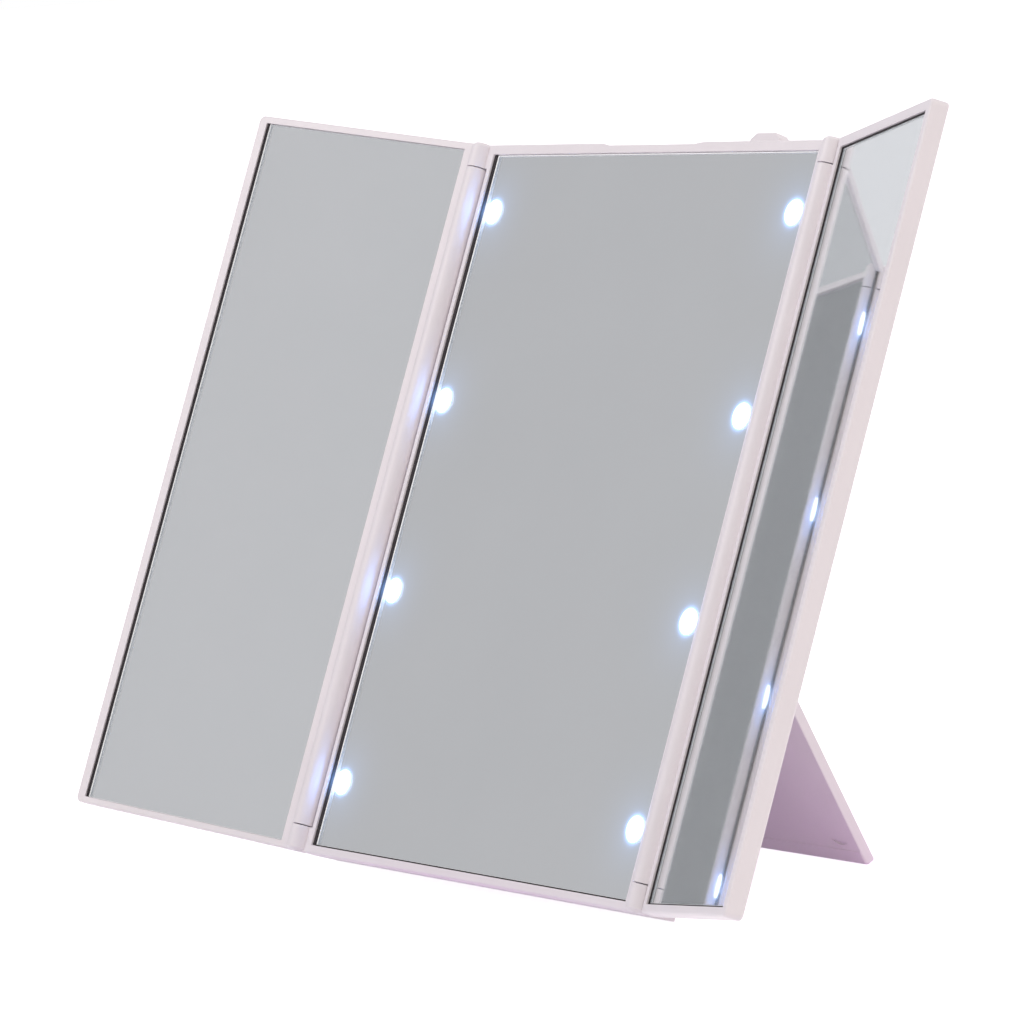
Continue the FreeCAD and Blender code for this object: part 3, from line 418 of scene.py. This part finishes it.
@dataclass(frozen=True)
class Finish:
    """A finish with a material of its own name."""

    name: str
    # The painted glow of the windows' light that the finish takes near them: strength at a rim, and
    # reach.
    painted_glow_fades: ClassVar[tuple[Fade, ...]] = ()

    def build(self, glow: PaintedWindowGlow | None = None) -> bpy.types.Material:
        """Make the material.

        Args:
            glow: The painted glow round the lit windows, for a piece that stands round them.

        Returns:
            The material.
        """
        recipe = Recipe(self.name)
        if glow is not None:
            glow.light(recipe, *self.painted_glow_fades)
        self.mix(recipe)
        return recipe.material

    def mix(self, recipe: Recipe) -> None:
        """Put what makes this finish into its recipe."""
        raise NotImplementedError


@dataclass(frozen=True)
class MouldedPlastic(Finish):
    """Injection-moulded plastic with a fine spark texture and a faint flow mottle."""

    colour: Colour
    roughness: Span = (0.37, 0.48)
    grain: float = 0.35*MM
    depth: float = 0.006*MM
    flow_width: float = 18*MM
    mottle: float = 0.975
    refraction: float = 1.53
    # Painted glow of the windows' light, for a shell that stands round them.
    painted_glow_fades: ClassVar[tuple[Fade, ...]] = ((0.3, 3*MM),)

    def mix(self, recipe: Recipe) -> None:
        """Mottle the colour along the flow, and roughen the skin with the spark.

        Args:
            recipe: The material under construction.
        """
        flow = recipe.noise(self.flow_width, 2.0)
        recipe.colour(recipe.shades(flow, scaled(self.colour, self.mottle), self.colour))
        spark = recipe.noise(self.grain, 4.0)
        recipe.rough(spark, self.roughness)
        recipe.bump(spark, self.depth)
        recipe.set(IOR=self.refraction, Specular_IOR_Level=0.5)


@dataclass(frozen=True)
class PlatedSteel(Finish):
    """Bright drawn steel with fine lines along one axis."""

    colour: Colour
    roughness: Span = (0.20, 0.38)
    line_width: float = 2*MM
    stretch: float = 12.0
    depth: float = 0.004*MM
    shade: float = 0.86

    def mix(self, recipe: Recipe) -> None:
        """Stretch a noise into lines, which shade, roughen and score the metal.

        Args:
            recipe: The material under construction.
        """
        mapping = recipe.add("ShaderNodeMapping")
        mapping.inputs["Scale"].default_value = (1.0, self.stretch, self.stretch)
        recipe.join(recipe.place, mapping.inputs["Vector"])
        lines = recipe.noise(self.line_width, 4.0, mapping.outputs["Vector"])
        recipe.colour(recipe.shades(lines, scaled(self.colour, self.shade), self.colour))
        recipe.rough(lines, self.roughness)
        recipe.bump(lines, self.depth)
        recipe.set(Metallic=1.0)


@dataclass(frozen=True)
class FoamTape(Finish):
    """Black closed-cell foam with open pores on its cut edges; near the lit windows it takes a
    painted glow of their light.
    """

    name: str = "foam_tape"
    colour: Colour = srgb(38, 34, 37)
    pore: float = 0.3*MM
    pore_light: float = 1.8
    depth: float = 0.04*MM
    roughness: float = 0.9
    # Painted glow of the windows' light on the tape round them.
    painted_glow_fades: ClassVar[tuple[Fade, ...]] = ((1.0, 0.9*MM),)

    def mix(self, recipe: Recipe) -> None:
        """Open the pores, a little lighter at their edges.

        Args:
            recipe: The material under construction.
        """
        pores = recipe.add("ShaderNodeTexVoronoi")
        pores.inputs["Scale"].default_value = 1/self.pore
        recipe.join(recipe.place, pores.inputs["Vector"])
        recipe.colour(recipe.shades(pores.outputs["Distance"], self.colour,
                                    scaled(self.colour, self.pore_light), (0.1, 0.6)))
        recipe.bump(pores.outputs["Distance"], self.depth)
        recipe.set(Roughness=self.roughness)


@dataclass(frozen=True)
class ClearGlass(Finish):
    """The clear face of a mirror pane, polished, with a breath of green."""

    name: str = "pane_glass"
    green: Colour = (0.990, 0.997, 0.996)
    clear: Colour = (0.997, 1.0, 0.999)
    cloud_width: float = 25*MM
    refraction: float = 1.5

    def mix(self, recipe: Recipe) -> None:
        """Let the green come and go in wide clouds.

        Args:
            recipe: The material under construction.
        """
        clouds = recipe.noise(self.cloud_width, 2.0)
        recipe.colour(recipe.shades(clouds, self.green, self.clear))
        recipe.set(Roughness=0.0, IOR=self.refraction, Transmission_Weight=1.0)


@dataclass(frozen=True)
class GroundEdge(Finish):
    """The ground border of a pane: frosted, pale and a little uneven."""

    name: str = "pane_ground_edge"
    colour: Colour = srgb(240, 241, 243)
    shade: float = 0.8
    chip_width: float = 0.5*MM
    depth: float = 0.03*MM
    roughness: float = 0.55
    # Painted glow: emission that stands in for the light inside the glass.
    glow: float = 0.3

    def mix(self, recipe: Recipe) -> None:
        """Chip the frosted surface, and give it a painted glow that stands in for the light inside
        the glass.

        Args:
            recipe: The material under construction.
        """
        chips = recipe.noise(self.chip_width, 5.0)
        recipe.colour(recipe.shades(chips, scaled(self.colour, self.shade), self.colour, (0.35, 0.5)))
        recipe.bump(chips, self.depth)
        recipe.set(Roughness=self.roughness, Emission_Color=(*self.colour, 1),
                   Emission_Strength=self.glow)


@dataclass(frozen=True)
class Silvering(Finish):
    """The silver on a pane's back and sides, a little milky where its metal is thinned to lift what
    it reflects; near the lit windows it takes a painted halo of their light.
    """

    colour: Colour = (0.94, 0.955, 0.97)
    # A diffuse share that lifts what the silver reflects: a painted lift of the reflection.
    haze_lift: float = 0.0
    tarnish: float = 0.985
    tarnish_width: float = 40*MM
    # Painted halo of the windows' light on the silver round them: a bright ring and a wide faint one.
    painted_glow_fades: ClassVar[tuple[Fade, ...]] = ((1.8, 0.45*MM), (0.18, 4.5*MM))

    def mix(self, recipe: Recipe) -> None:
        """Tarnish the silver in wide patches, and take the milky lift of what it reflects from the
        metal.

        Args:
            recipe: The material under construction.
        """
        patches = recipe.noise(self.tarnish_width, 2.0)
        recipe.colour(recipe.shades(patches, scaled(self.colour, self.tarnish), self.colour))
        recipe.set(Metallic=1 - self.haze_lift, Roughness=0.0)


@dataclass(frozen=True)
class LitWindow(Finish):
    """Milky plastic lit from behind, faintly cloudy."""

    colour: Colour = (0.93, 0.97, 1.0)
    strength: float = 3.0
    shade: float = 0.94
    cloud_width: float = 2*MM
    roughness: float = 0.35

    def mix(self, recipe: Recipe) -> None:
        """Cloud the plastic and light it.

        Args:
            recipe: The material under construction.
        """
        clouds = recipe.noise(self.cloud_width, 2.0)
        recipe.colour(recipe.shades(clouds, scaled(self.colour, self.shade), self.colour))
        recipe.set(Roughness=self.roughness, Emission_Color=(*self.colour, 1),
                   Emission_Strength=self.strength)


@dataclass(frozen=True)
class CircuitBoard(Finish):
    """Green solder mask over copper tracks."""

    name: str = "circuit_board"
    mask: Colour = srgb(34, 98, 60)
    track: Colour = srgb(52, 128, 80)
    track_pitch: float = 9*MM
    wander: float = 1.5
    depth: float = 0.02*MM
    roughness: float = 0.35

    def mix(self, recipe: Recipe) -> None:
        """Lay the tracks side by side under the mask.

        Args:
            recipe: The material under construction.
        """
        tracks = recipe.add("ShaderNodeTexWave", wave_type="BANDS", bands_direction="X")
        tracks.inputs["Scale"].default_value = 1/self.track_pitch
        tracks.inputs["Distortion"].default_value = self.wander
        recipe.join(recipe.place, tracks.inputs["Vector"])
        recipe.colour(recipe.shades(tracks.outputs["Fac"], self.mask, self.track, (0.45, 0.5)))
        recipe.bump(tracks.outputs["Fac"], self.depth)
        recipe.set(Roughness=self.roughness)


@dataclass(frozen=True)
class WrinkledSkin(Finish):
    """A thin plastic skin with soft wrinkles, such as a cell's wrap or a wire's jacket."""

    colour: Colour
    shade: float
    wrinkle: float
    roughness: Span
    depth: float = 0.01*MM
    metal: float = 0.0

    def mix(self, recipe: Recipe) -> None:
        """Shade, roughen and raise the skin by its wrinkles.

        Args:
            recipe: The material under construction.
        """
        skin = recipe.noise(self.wrinkle)
        recipe.colour(recipe.shades(skin, scaled(self.colour, self.shade), self.colour))
        recipe.rough(skin, self.roughness)
        recipe.bump(skin, self.depth)
        recipe.set(Metallic=self.metal)


@dataclass(frozen=True)
class CellWrap(WrinkledSkin):
    """A battery cell's plain dark wrap, a little metallic."""

    name: str = "cell_wrap"
    colour: Colour = srgb(52, 60, 84)
    shade: float = 0.85
    wrinkle: float = 6*MM
    roughness: Span = (0.25, 0.4)
    metal: float = 0.3


@dataclass(frozen=True)
class WireJacket(WrinkledSkin):
    """Soft PVC on a wire."""

    shade: float = 0.8
    wrinkle: float = 0.8*MM
    roughness: Span = (0.35, 0.55)


# The linear colour of the moulded shells.
SHELL = (0.88, 0.835, 0.875)


# ------------------------------------------------------------------ sub-assemblies


def dress(nodes: Iterable[str], material: bpy.types.Material) -> None:
    """Give nodes of the frame a finish.

    Args:
        nodes: The nodes' names.
        material: The finish that all of them get.
    """
    for name in nodes:
        node = frame["nodes"][name]
        node.data.materials.clear()
        node.data.materials.append(material)
        log.info("%s is dressed in %s", name, material.name)


@dataclass(frozen=True)
class GroundBorder:
    """How far the ground border reaches in from each side of a pane, and how deep it falls."""

    left: float = 0.6*MM
    foot: float = 0.1*MM
    right: float = 0.12*MM
    top: float = 0.28*MM
    fall: float = 0.06*MM


@dataclass
class MirrorPane:
    """A pane of mirror glass: clear front, ground border, silvered sides and back, lit windows.

    Silver that lies within the window core, a share of a window's radius, is left out.
    """

    node: str
    body: str
    axes: PanelAxes
    silver: bpy.types.Material
    glass: bpy.types.Material
    edge: bpy.types.Material
    window: bpy.types.Material | None = None
    lamps: LampRows | None = None
    ground: GroundBorder = GroundBorder()
    coat: float = 0.03*MM
    segments: int = 48
    window_core: float = 0.99

    def build(self) -> bpy.types.Object:
        """Make the pane where its node is, and let it stand for that node.

        Returns:
            The pane.
        """
        low, high = self.axes.extent(self.node)
        low.z += self.coat
        mesh = bpy.data.meshes.new(f"{self.node}_pane")
        shape = bmesh.new()
        corners = self.raise_front(shape, low, high)
        self.fill_back(shape, corners, low.z)
        shape.transform(self.axes.matrix())
        bmesh.ops.recalc_face_normals(shape, faces=shape.faces)
        shape.to_mesh(mesh)
        shape.free()
        for material in (self.glass, self.edge, self.silver, self.window or self.silver):
            mesh.materials.append(material)
        pane = bpy.data.objects.new(f"{self.node}_pane", mesh)
        bpy.context.scene.collection.objects.link(pane)
        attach(pane, self.body)
        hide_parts(self.node)
        log.info("%s is made with %d faces", pane.name, len(mesh.polygons))
        return pane

    def raise_front(self, shape: bmesh.types.BMesh, low: Vector,
                    high: Vector) -> list[bmesh.types.BMVert]:
        """Make the silvered sides, the ground border and the clear front.

        Args:
            shape: The pane under construction.
            low: The pane's lowest corner in panel coordinates.
            high: Its highest corner.

        Returns:
            The four corners of the back.
        """
        border = self.ground
        back = self.ring(shape, low, high, low.z)
        rim = self.ring(shape, low, high, high.z - border.fall)
        front = self.ring(shape, low + Vector((border.left, border.foot, 0)),
                          high - Vector((border.right, border.top, 0)), high.z)
        for lower, upper, finish in ((back, rim, PaneFinish.SILVER), (rim, front, PaneFinish.BORDER)):
            for index in range(4):
                following = (index + 1) % 4
                face = shape.faces.new((lower[index], lower[following],
                                        upper[following], upper[index]))
                face.material_index = finish
        shape.faces.new(front).material_index = PaneFinish.GLASS
        return back

    @staticmethod
    def ring(shape: bmesh.types.BMesh, low: Vector, high: Vector,
             height: float) -> list[bmesh.types.BMVert]:
        """Four corners at one height, between a low and a high corner."""
        corners = ((low.x, low.y), (high.x, low.y), (high.x, high.y), (low.x, high.y))
        return [shape.verts.new((across, along, height)) for across, along in corners]

    def fill_back(self, shape: bmesh.types.BMesh, corners: list[bmesh.types.BMVert],
                  height: float) -> None:
        """Close the back with silver, and each window with its own round face.

        Args:
            shape: The pane under construction.
            corners: The four corners of its back.
            height: The back's place along the panel's front direction.
        """
        edges = [shape.edges.get((corners[index], corners[(index + 1) % 4])) for index in range(4)]
        places = self.lamps.places() if self.lamps else []
        discs = [self.disc(shape, across, along, height) for across, along in places]
        for disc in discs:
            edges.extend(disc.edges)
        filled = bmesh.ops.triangle_fill(shape, edges=edges, use_beauty=True,
                                         normal=(0, 0, -1))["geom"]
        faces = [item for item in filled
                 if isinstance(item, bmesh.types.BMFace) and item not in discs]
        for face in faces:
            middle = face.calc_center_median()
            if any(math.dist(middle.xy, place) < self.window_core*self.lamps.radius
                   for place in places):
                shape.faces.remove(face)
            else:
                face.material_index = PaneFinish.SILVER

    def disc(self, shape: bmesh.types.BMesh, across: float, along: float,
             height: float) -> bmesh.types.BMFace:
        """Make the round face of a window.

        Args:
            shape: The pane under construction.
            across: The window's middle across the panel.
            along: The window's middle up the panel.
            height: The back's place along the panel's front direction.

        Returns:
            The face.
        """
        rim = []
        for step in range(self.segments):
            angle = 2*math.pi*step/self.segments
            rim.append(shape.verts.new((across + self.lamps.radius*math.cos(angle),
                                        along + self.lamps.radius*math.sin(angle), height)))
        face = shape.faces.new(rim)
        face.material_index = PaneFinish.WINDOW
        return face


@dataclass
class CentrePanel:
    """The lit centre panel with its battery block and its kickstand."""

    axes: PanelAxes
    lamps: LampRows
    unlit_shells: ClassVar[tuple[str, ...]] = ("centre_back_cover", "kickstand", "battery_door",
                                               "power_knob")

    def build(self, finishes: dict[str, bpy.types.Material]) -> None:
        """Dress the panel's nodes and make its pane.

        Args:
            finishes: The materials by name.
        """
        # The frame, its foam tape and its silver get a painted glow of the windows' light round each
        # window.
        glow = PaintedWindowGlow(self.axes, self.lamps)
        dress(("centre_frame",), MouldedPlastic("lit_shell_plastic", SHELL).build(glow))
        dress(self.unlit_shells, finishes["shell"])
        dress(("centre_mirror_tape",), FoamTape("lit_foam_tape").build(glow))
        dress([name for name in frame["nodes"] if "_pin" in name], finishes["pins"])
        dress(("case_screws",), finishes["screws"])
        silver = Silvering("centre_silver").build(glow)
        MirrorPane("centre_mirror", "centre", self.axes, silver, finishes["glass"], finishes["edge"],
                   finishes["window"], self.lamps).build()


class LampCircuit:
    """The light guides, lamp chips, boards, switch, cells, contacts and wires."""

    finish_by_start: ClassVar[dict[str, str]] = {
        "light_guide": "guide",
        "led_chip": "chip",
        "led_board": "board",
        "led_resistor": "black",
        "switch_": "black",
        "battery_cell": "cell",
        "contact_spring": "contacts",
        "link_plate": "contacts",
        "end_plate": "contacts",
        "wire_": "red_wire",
    }

    def build(self, finishes: dict[str, bpy.types.Material]) -> None:
        """Dress the circuit's nodes, with the wires of the minus side in black.

        Args:
            finishes: The materials by name.
        """
        for start, finish in self.finish_by_start.items():
            dress(self.named(start), finishes[finish])
        dress(self.named("wire_", "minus"), finishes["black_wire"])

    @staticmethod
    def named(start: str, end: str = "") -> list[str]:
        """The frame's nodes whose names start and end like that, in order."""
        return sorted(name for name in frame["nodes"]
                      if name.startswith(start) and name.endswith(end))


@dataclass
class Wing:
    """A mirror wing: its tray, the foam tape and the pane."""

    side: Side
    axes: PanelAxes
    # The wing silvers are made milky to lift what they reflect, the right one more and tinted bluer:
    # a painted lift and tint of their reflections.
    silvers: ClassVar[dict[Side, Silvering]] = {
        Side.LEFT: Silvering("left_wing_silver", haze_lift=0.04),
        Side.RIGHT: Silvering("right_wing_silver", (0.945, 0.972, 0.995), 0.14),
    }
    borders: ClassVar[dict[Side, GroundBorder]] = {
        Side.LEFT: GroundBorder(left=0.4*MM, top=0.08*MM),
        Side.RIGHT: GroundBorder(left=0.25*MM, top=0.1*MM),
    }

    def build(self, finishes: dict[str, bpy.types.Material]) -> None:
        """Dress the wing's nodes and make its pane.

        Args:
            finishes: The materials by name.
        """
        word = f"{self.side.name.lower()}_wing"
        dress((f"{word}_tray",), finishes["shell"])
        dress((f"{word}_tape",), finishes["foam"])
        MirrorPane(f"{word}_mirror", word, self.axes, self.silvers[self.side].build(),
                   finishes["glass"], finishes["edge"], ground=self.borders[self.side]).build()


# ------------------------------------------------------------------ studio


@dataclass(frozen=True)
class Viewpoint:
    """The camera: a long lens that looks at a point of the centre panel."""

    target_across: float = -18.403*MM
    target_up: float = 90.825*MM
    distance: float = 1338.9*MM
    azimuth: float = 55.424
    elevation: float = 6.084
    roll: float = -4.097
    lens: float = 188.63
    clip: Span = (0.05, 60.0)

    def build(self, axes: PanelAxes) -> bpy.types.Object:
        """Make the camera and use it.

        Args:
            axes: The centre panel's axes.

        Returns:
            The camera.
        """
        around, above = math.radians(self.azimuth), math.radians(self.elevation)
        back = Vector((math.sin(around)*math.cos(above), -math.cos(around)*math.cos(above),
                       math.sin(above)))
        data = bpy.data.cameras.new("camera")
        data.lens = self.lens
        data.clip_start, data.clip_end = self.clip
        camera = bpy.data.objects.new("camera", data)
        bpy.context.scene.collection.objects.link(camera)
        turn = (-back).to_track_quat("-Z", "Y").to_matrix() @ Matrix.Rotation(
            math.radians(self.roll), 3, "Z")
        target = axes.place(self.target_across, self.target_up, 0)
        camera.matrix_world = Matrix.Translation(target + back*self.distance) @ turn.to_4x4()
        bpy.context.scene.camera = camera
        return camera


@dataclass(frozen=True)
class RoundLamp:
    """A round lamp that shines out of its face, and that glass doesn't show."""

    name: str
    place: Sequence[float]
    size: float
    power: float
    colour: Colour = (1, 1, 1)
    highlight: bool = False

    def build(self, towards: Vector) -> bpy.types.Object:
        """Hang the lamp.

        Args:
            towards: The direction that it faces.

        Returns:
            The lamp.
        """
        data = bpy.data.lights.new(self.name, "AREA")
        data.shape, data.size = "DISK", self.size
        data.energy, data.color = self.power, self.colour
        lamp = bpy.data.objects.new(self.name, data)
        lamp.location = self.place
        lamp.rotation_euler = towards.to_track_quat("-Z", "Y").to_euler()
        lamp.visible_glossy = self.highlight
        lamp.visible_transmission = False
        bpy.context.scene.collection.objects.link(lamp)
        return lamp


@dataclass(frozen=True)
class WindowLamps:
    """The light that the lit windows throw on what stands near them."""

    power: float = 0.0028
    colour: Colour = (0.12, 0.36, 1.0)
    depth: float = 0.6*MM

    def build(self, axes: PanelAxes, rows: LampRows) -> None:
        """Hang a lamp just behind each window.

        Args:
            axes: The centre panel's axes.
            rows: The rows of lit windows.
        """
        for index, (across, along) in enumerate(rows.places()):
            place = axes.place(across, along, -self.depth)
            lamp = RoundLamp(f"window_light_{index}", place, 2*rows.radius, self.power,
                             self.colour).build(axes.front)
            lamp.visible_camera = False


@dataclass(frozen=True)
class Floor:
    """A floor that looks white, and throws mauve light back from a patch under the stand."""

    size: float = 60.0
    white: Colour = (0.86, 0.83, 0.86)
    mauve: Colour = (0.78, 0.50, 0.84)
    patch_middle: tuple[float, float, float] = (0, 40*MM, 0)
    patch_fade: Span = (50*MM, 110*MM)
    roughness: float = 0.9
    glow: float = 0.88

    def build(self) -> bpy.types.Object:
        """Lay the floor: white where it is seen, and still able to hold a shadow.

        Returns:
            The floor.
        """
        mesh = bpy.data.meshes.new("floor")
        half = self.size/2
        mesh.from_pydata([(-half, -half, 0), (half, -half, 0), (half, half, 0), (-half, half, 0)],
                         [], [(0, 1, 2, 3)])
        mesh.materials.append(self.paper())
        floor = bpy.data.objects.new("floor", mesh)
        bpy.context.scene.collection.objects.link(floor)
        return floor

    def paper(self) -> bpy.types.Material:
        """Make the paper, which glows white where it is seen, also in a mirror or through glass.

        Returns:
            The material.
        """
        recipe = Recipe("floor_paper")
        away = recipe.add("ShaderNodeVectorMath", operation="DISTANCE")
        away.inputs[1].default_value = self.patch_middle
        recipe.join(recipe.place, away.inputs[0])
        recipe.colour(recipe.shades(away.outputs["Value"], self.mauve, self.white, self.patch_fade))
        path = recipe.add("ShaderNodeLightPath").outputs
        seen = recipe.math("MAXIMUM", path["Is Camera Ray"], recipe.math(
            "MAXIMUM", path["Is Glossy Ray"], path["Is Transmission Ray"]))
        recipe.set(Roughness=self.roughness, Emission_Color=(1, 1, 1, 1))
        recipe.join(recipe.math("MULTIPLY", seen, self.glow),
                    recipe.main.inputs["Emission Strength"])
        return recipe.material


class Backdrop(NodeSet):
    """The world's surroundings under construction."""

    def __init__(self, name: str) -> None:
        """Start an empty world and use it.

        Args:
            name: The world's name.
        """
        world = bpy.data.worlds.new(name)
        bpy.context.scene.world = world
        world.use_nodes = True
        super().__init__(world.node_tree)

    def ramp(self, source: Socket, span: Span, levels: tuple[float | Socket, float]) -> Socket:
        """Go smoothly between two levels while a source crosses a span.

        Args:
            source: What drives the level.
            span: Where the change starts and ends.
            levels: The levels before and after, each a number or a socket.

        Returns:
            The level.
        """
        node = self.add("ShaderNodeMapRange", interpolation_type="SMOOTHSTEP")
        for name, value in zip(("From Min", "From Max", "To Min", "To Max"), span + levels):
            self.feed(value, node.inputs[name])
        self.join(source, node.inputs["Value"])
        return node.outputs["Result"]

    def paper(self, colour: Colour, level: Socket | None = None) -> Socket:
        """Make a backdrop of one colour.

        Args:
            colour: The colour.
            level: What drives its strength, or None for full strength.

        Returns:
            The shader.
        """
        node = self.add("ShaderNodeBackground")
        node.inputs["Color"].default_value = (*colour, 1)
        if level is not None:
            self.join(level, node.inputs["Strength"])
        return node.outputs["Background"]

    def blend(self, factor: Socket, first: Socket, second: Socket) -> Socket:
        """Go from one shader to another.

        Args:
            factor: The share of the second shader.
            first: The shader where the factor is 0.
            second: The shader where it is 1.

        Returns:
            The blended shader.
        """
        node = self.add("ShaderNodeMixShader")
        for target, source in zip(node.inputs, (factor, first, second)):
            self.join(source, target)
        return node.outputs["Shader"]


@dataclass(frozen=True)
class Surroundings:
    """A room that the camera sees as white.

    What the mirrors show and what lights the mirror is white behind it and grey in front of it, and
    the light that comes from its right is a little stronger and warmer.
    """

    near_level: float = 0.565
    front_level: float = 0.51
    back_level: float = 1.0
    near_span: Span = (-0.8, -0.55)
    back_span: Span = (-0.35, 0.6)
    side_span: Span = (-0.2, 0.7)
    mirrored: Colour = (0.98, 0.975, 1.0)
    left_ambient: Colour = (0.90, 0.87, 0.91)
    right_ambient: Colour = (1.07, 1.0, 0.97)

    def build(self) -> None:
        """Paint the world by the direction that a ray goes to and by what the ray is for."""
        room = Backdrop("studio")
        place = room.add("ShaderNodeTexCoord")
        split = room.add("ShaderNodeSeparateXYZ")
        room.join(place.outputs["Generated"], split.inputs["Vector"])
        front = room.ramp(split.outputs["Y"], self.near_span, (self.near_level, self.front_level))
        level = room.ramp(split.outputs["Y"], self.back_span, (front, self.back_level))
        rightward = room.ramp(split.outputs["X"], self.side_span, (0, 1))
        path = room.add("ShaderNodeLightPath").outputs
        ambient = room.blend(rightward, room.paper(self.left_ambient, level),
                             room.paper(self.right_ambient, level))
        around = room.blend(path["Is Diffuse Ray"], room.paper(self.mirrored, level), ambient)
        shown = room.blend(path["Is Camera Ray"], around, room.paper((1, 1, 1)))
        output = room.add("ShaderNodeOutputWorld")
        room.join(shown, output.inputs["Surface"])


@dataclass(frozen=True)
class Studio:
    """The floor, the surroundings, three soft lamps and the mirror's own light."""

    aim_up: float = 90*MM
    lamps: tuple[RoundLamp, ...] = (
        RoundLamp("key_lamp", (-1.07, -1.59, 1.61), 0.9, 14.0, highlight=True),
        RoundLamp("fill_lamp", (1.8, -0.9, 0.9), 1.2, 7.0, (1.0, 0.95, 0.77)),
        RoundLamp("top_lamp", (0.1, 0.5, 2.0), 1.5, 2.0),
    )

    def build(self, axes: PanelAxes, rows: LampRows) -> None:
        """Set up the studio, with its lamps facing the middle of the centre panel.

        Args:
            axes: The centre panel's axes.
            rows: The rows of lit windows.
        """
        bpy.context.scene.view_settings.view_transform = "Standard"
        Floor().build()
        Surroundings().build()
        target = axes.place(0, self.aim_up, 0)
        for lamp in self.lamps:
            lamp.build(target - Vector(lamp.place))
        WindowLamps().build(axes, rows)
        log.info("the studio stands with %d lamps", len(self.lamps))


# ------------------------------------------------------------------ main


def mix_finishes() -> dict[str, bpy.types.Material]:
    """Mix the finishes that several pieces share or that need no painted glow.

    Returns:
        The materials by name.
    """
    return {
        "shell": MouldedPlastic("shell_plastic", SHELL).build(),
        "black": MouldedPlastic("black_plastic", srgb(34, 34, 36)).build(),
        "foam": FoamTape().build(),
        "glass": ClearGlass().build(),
        "edge": GroundEdge().build(),
        "window": LitWindow("window_light").build(),
        "guide": LitWindow("guide_plastic", strength=0.6).build(),
        "chip": LitWindow("chip_phosphor", (1.0, 0.93, 0.55), 0.3).build(),
        "board": CircuitBoard().build(),
        "cell": CellWrap().build(),
        "contacts": PlatedSteel("contact_steel", (0.72, 0.70, 0.66)).build(),
        "pins": PlatedSteel("pin_steel", (0.42, 0.42, 0.44), (0.27, 0.45)).build(),
        "screws": PlatedSteel("screw_steel", (0.60, 0.60, 0.62)).build(),
        "red_wire": WireJacket("red_jacket", srgb(186, 34, 36)).build(),
        "black_wire": WireJacket("black_jacket", srgb(40, 40, 42)).build(),
    }


def main() -> None:
    """Build the camera, the studio and the mirror."""
    logging.basicConfig(level=logging.INFO, format="%(name)s: %(message)s")
    layout = MirrorLayout()
    axes = layout.centre()
    lamps = LampRows.over_chips(axes)
    Viewpoint().build(axes)
    Studio().build(axes, lamps)
    finishes = mix_finishes()
    CentrePanel(axes, lamps).build(finishes)
    LampCircuit().build(finishes)
    for side in Side:
        Wing(side, layout.wing(side)).build(finishes)


if __name__ == "__main__":
    main()
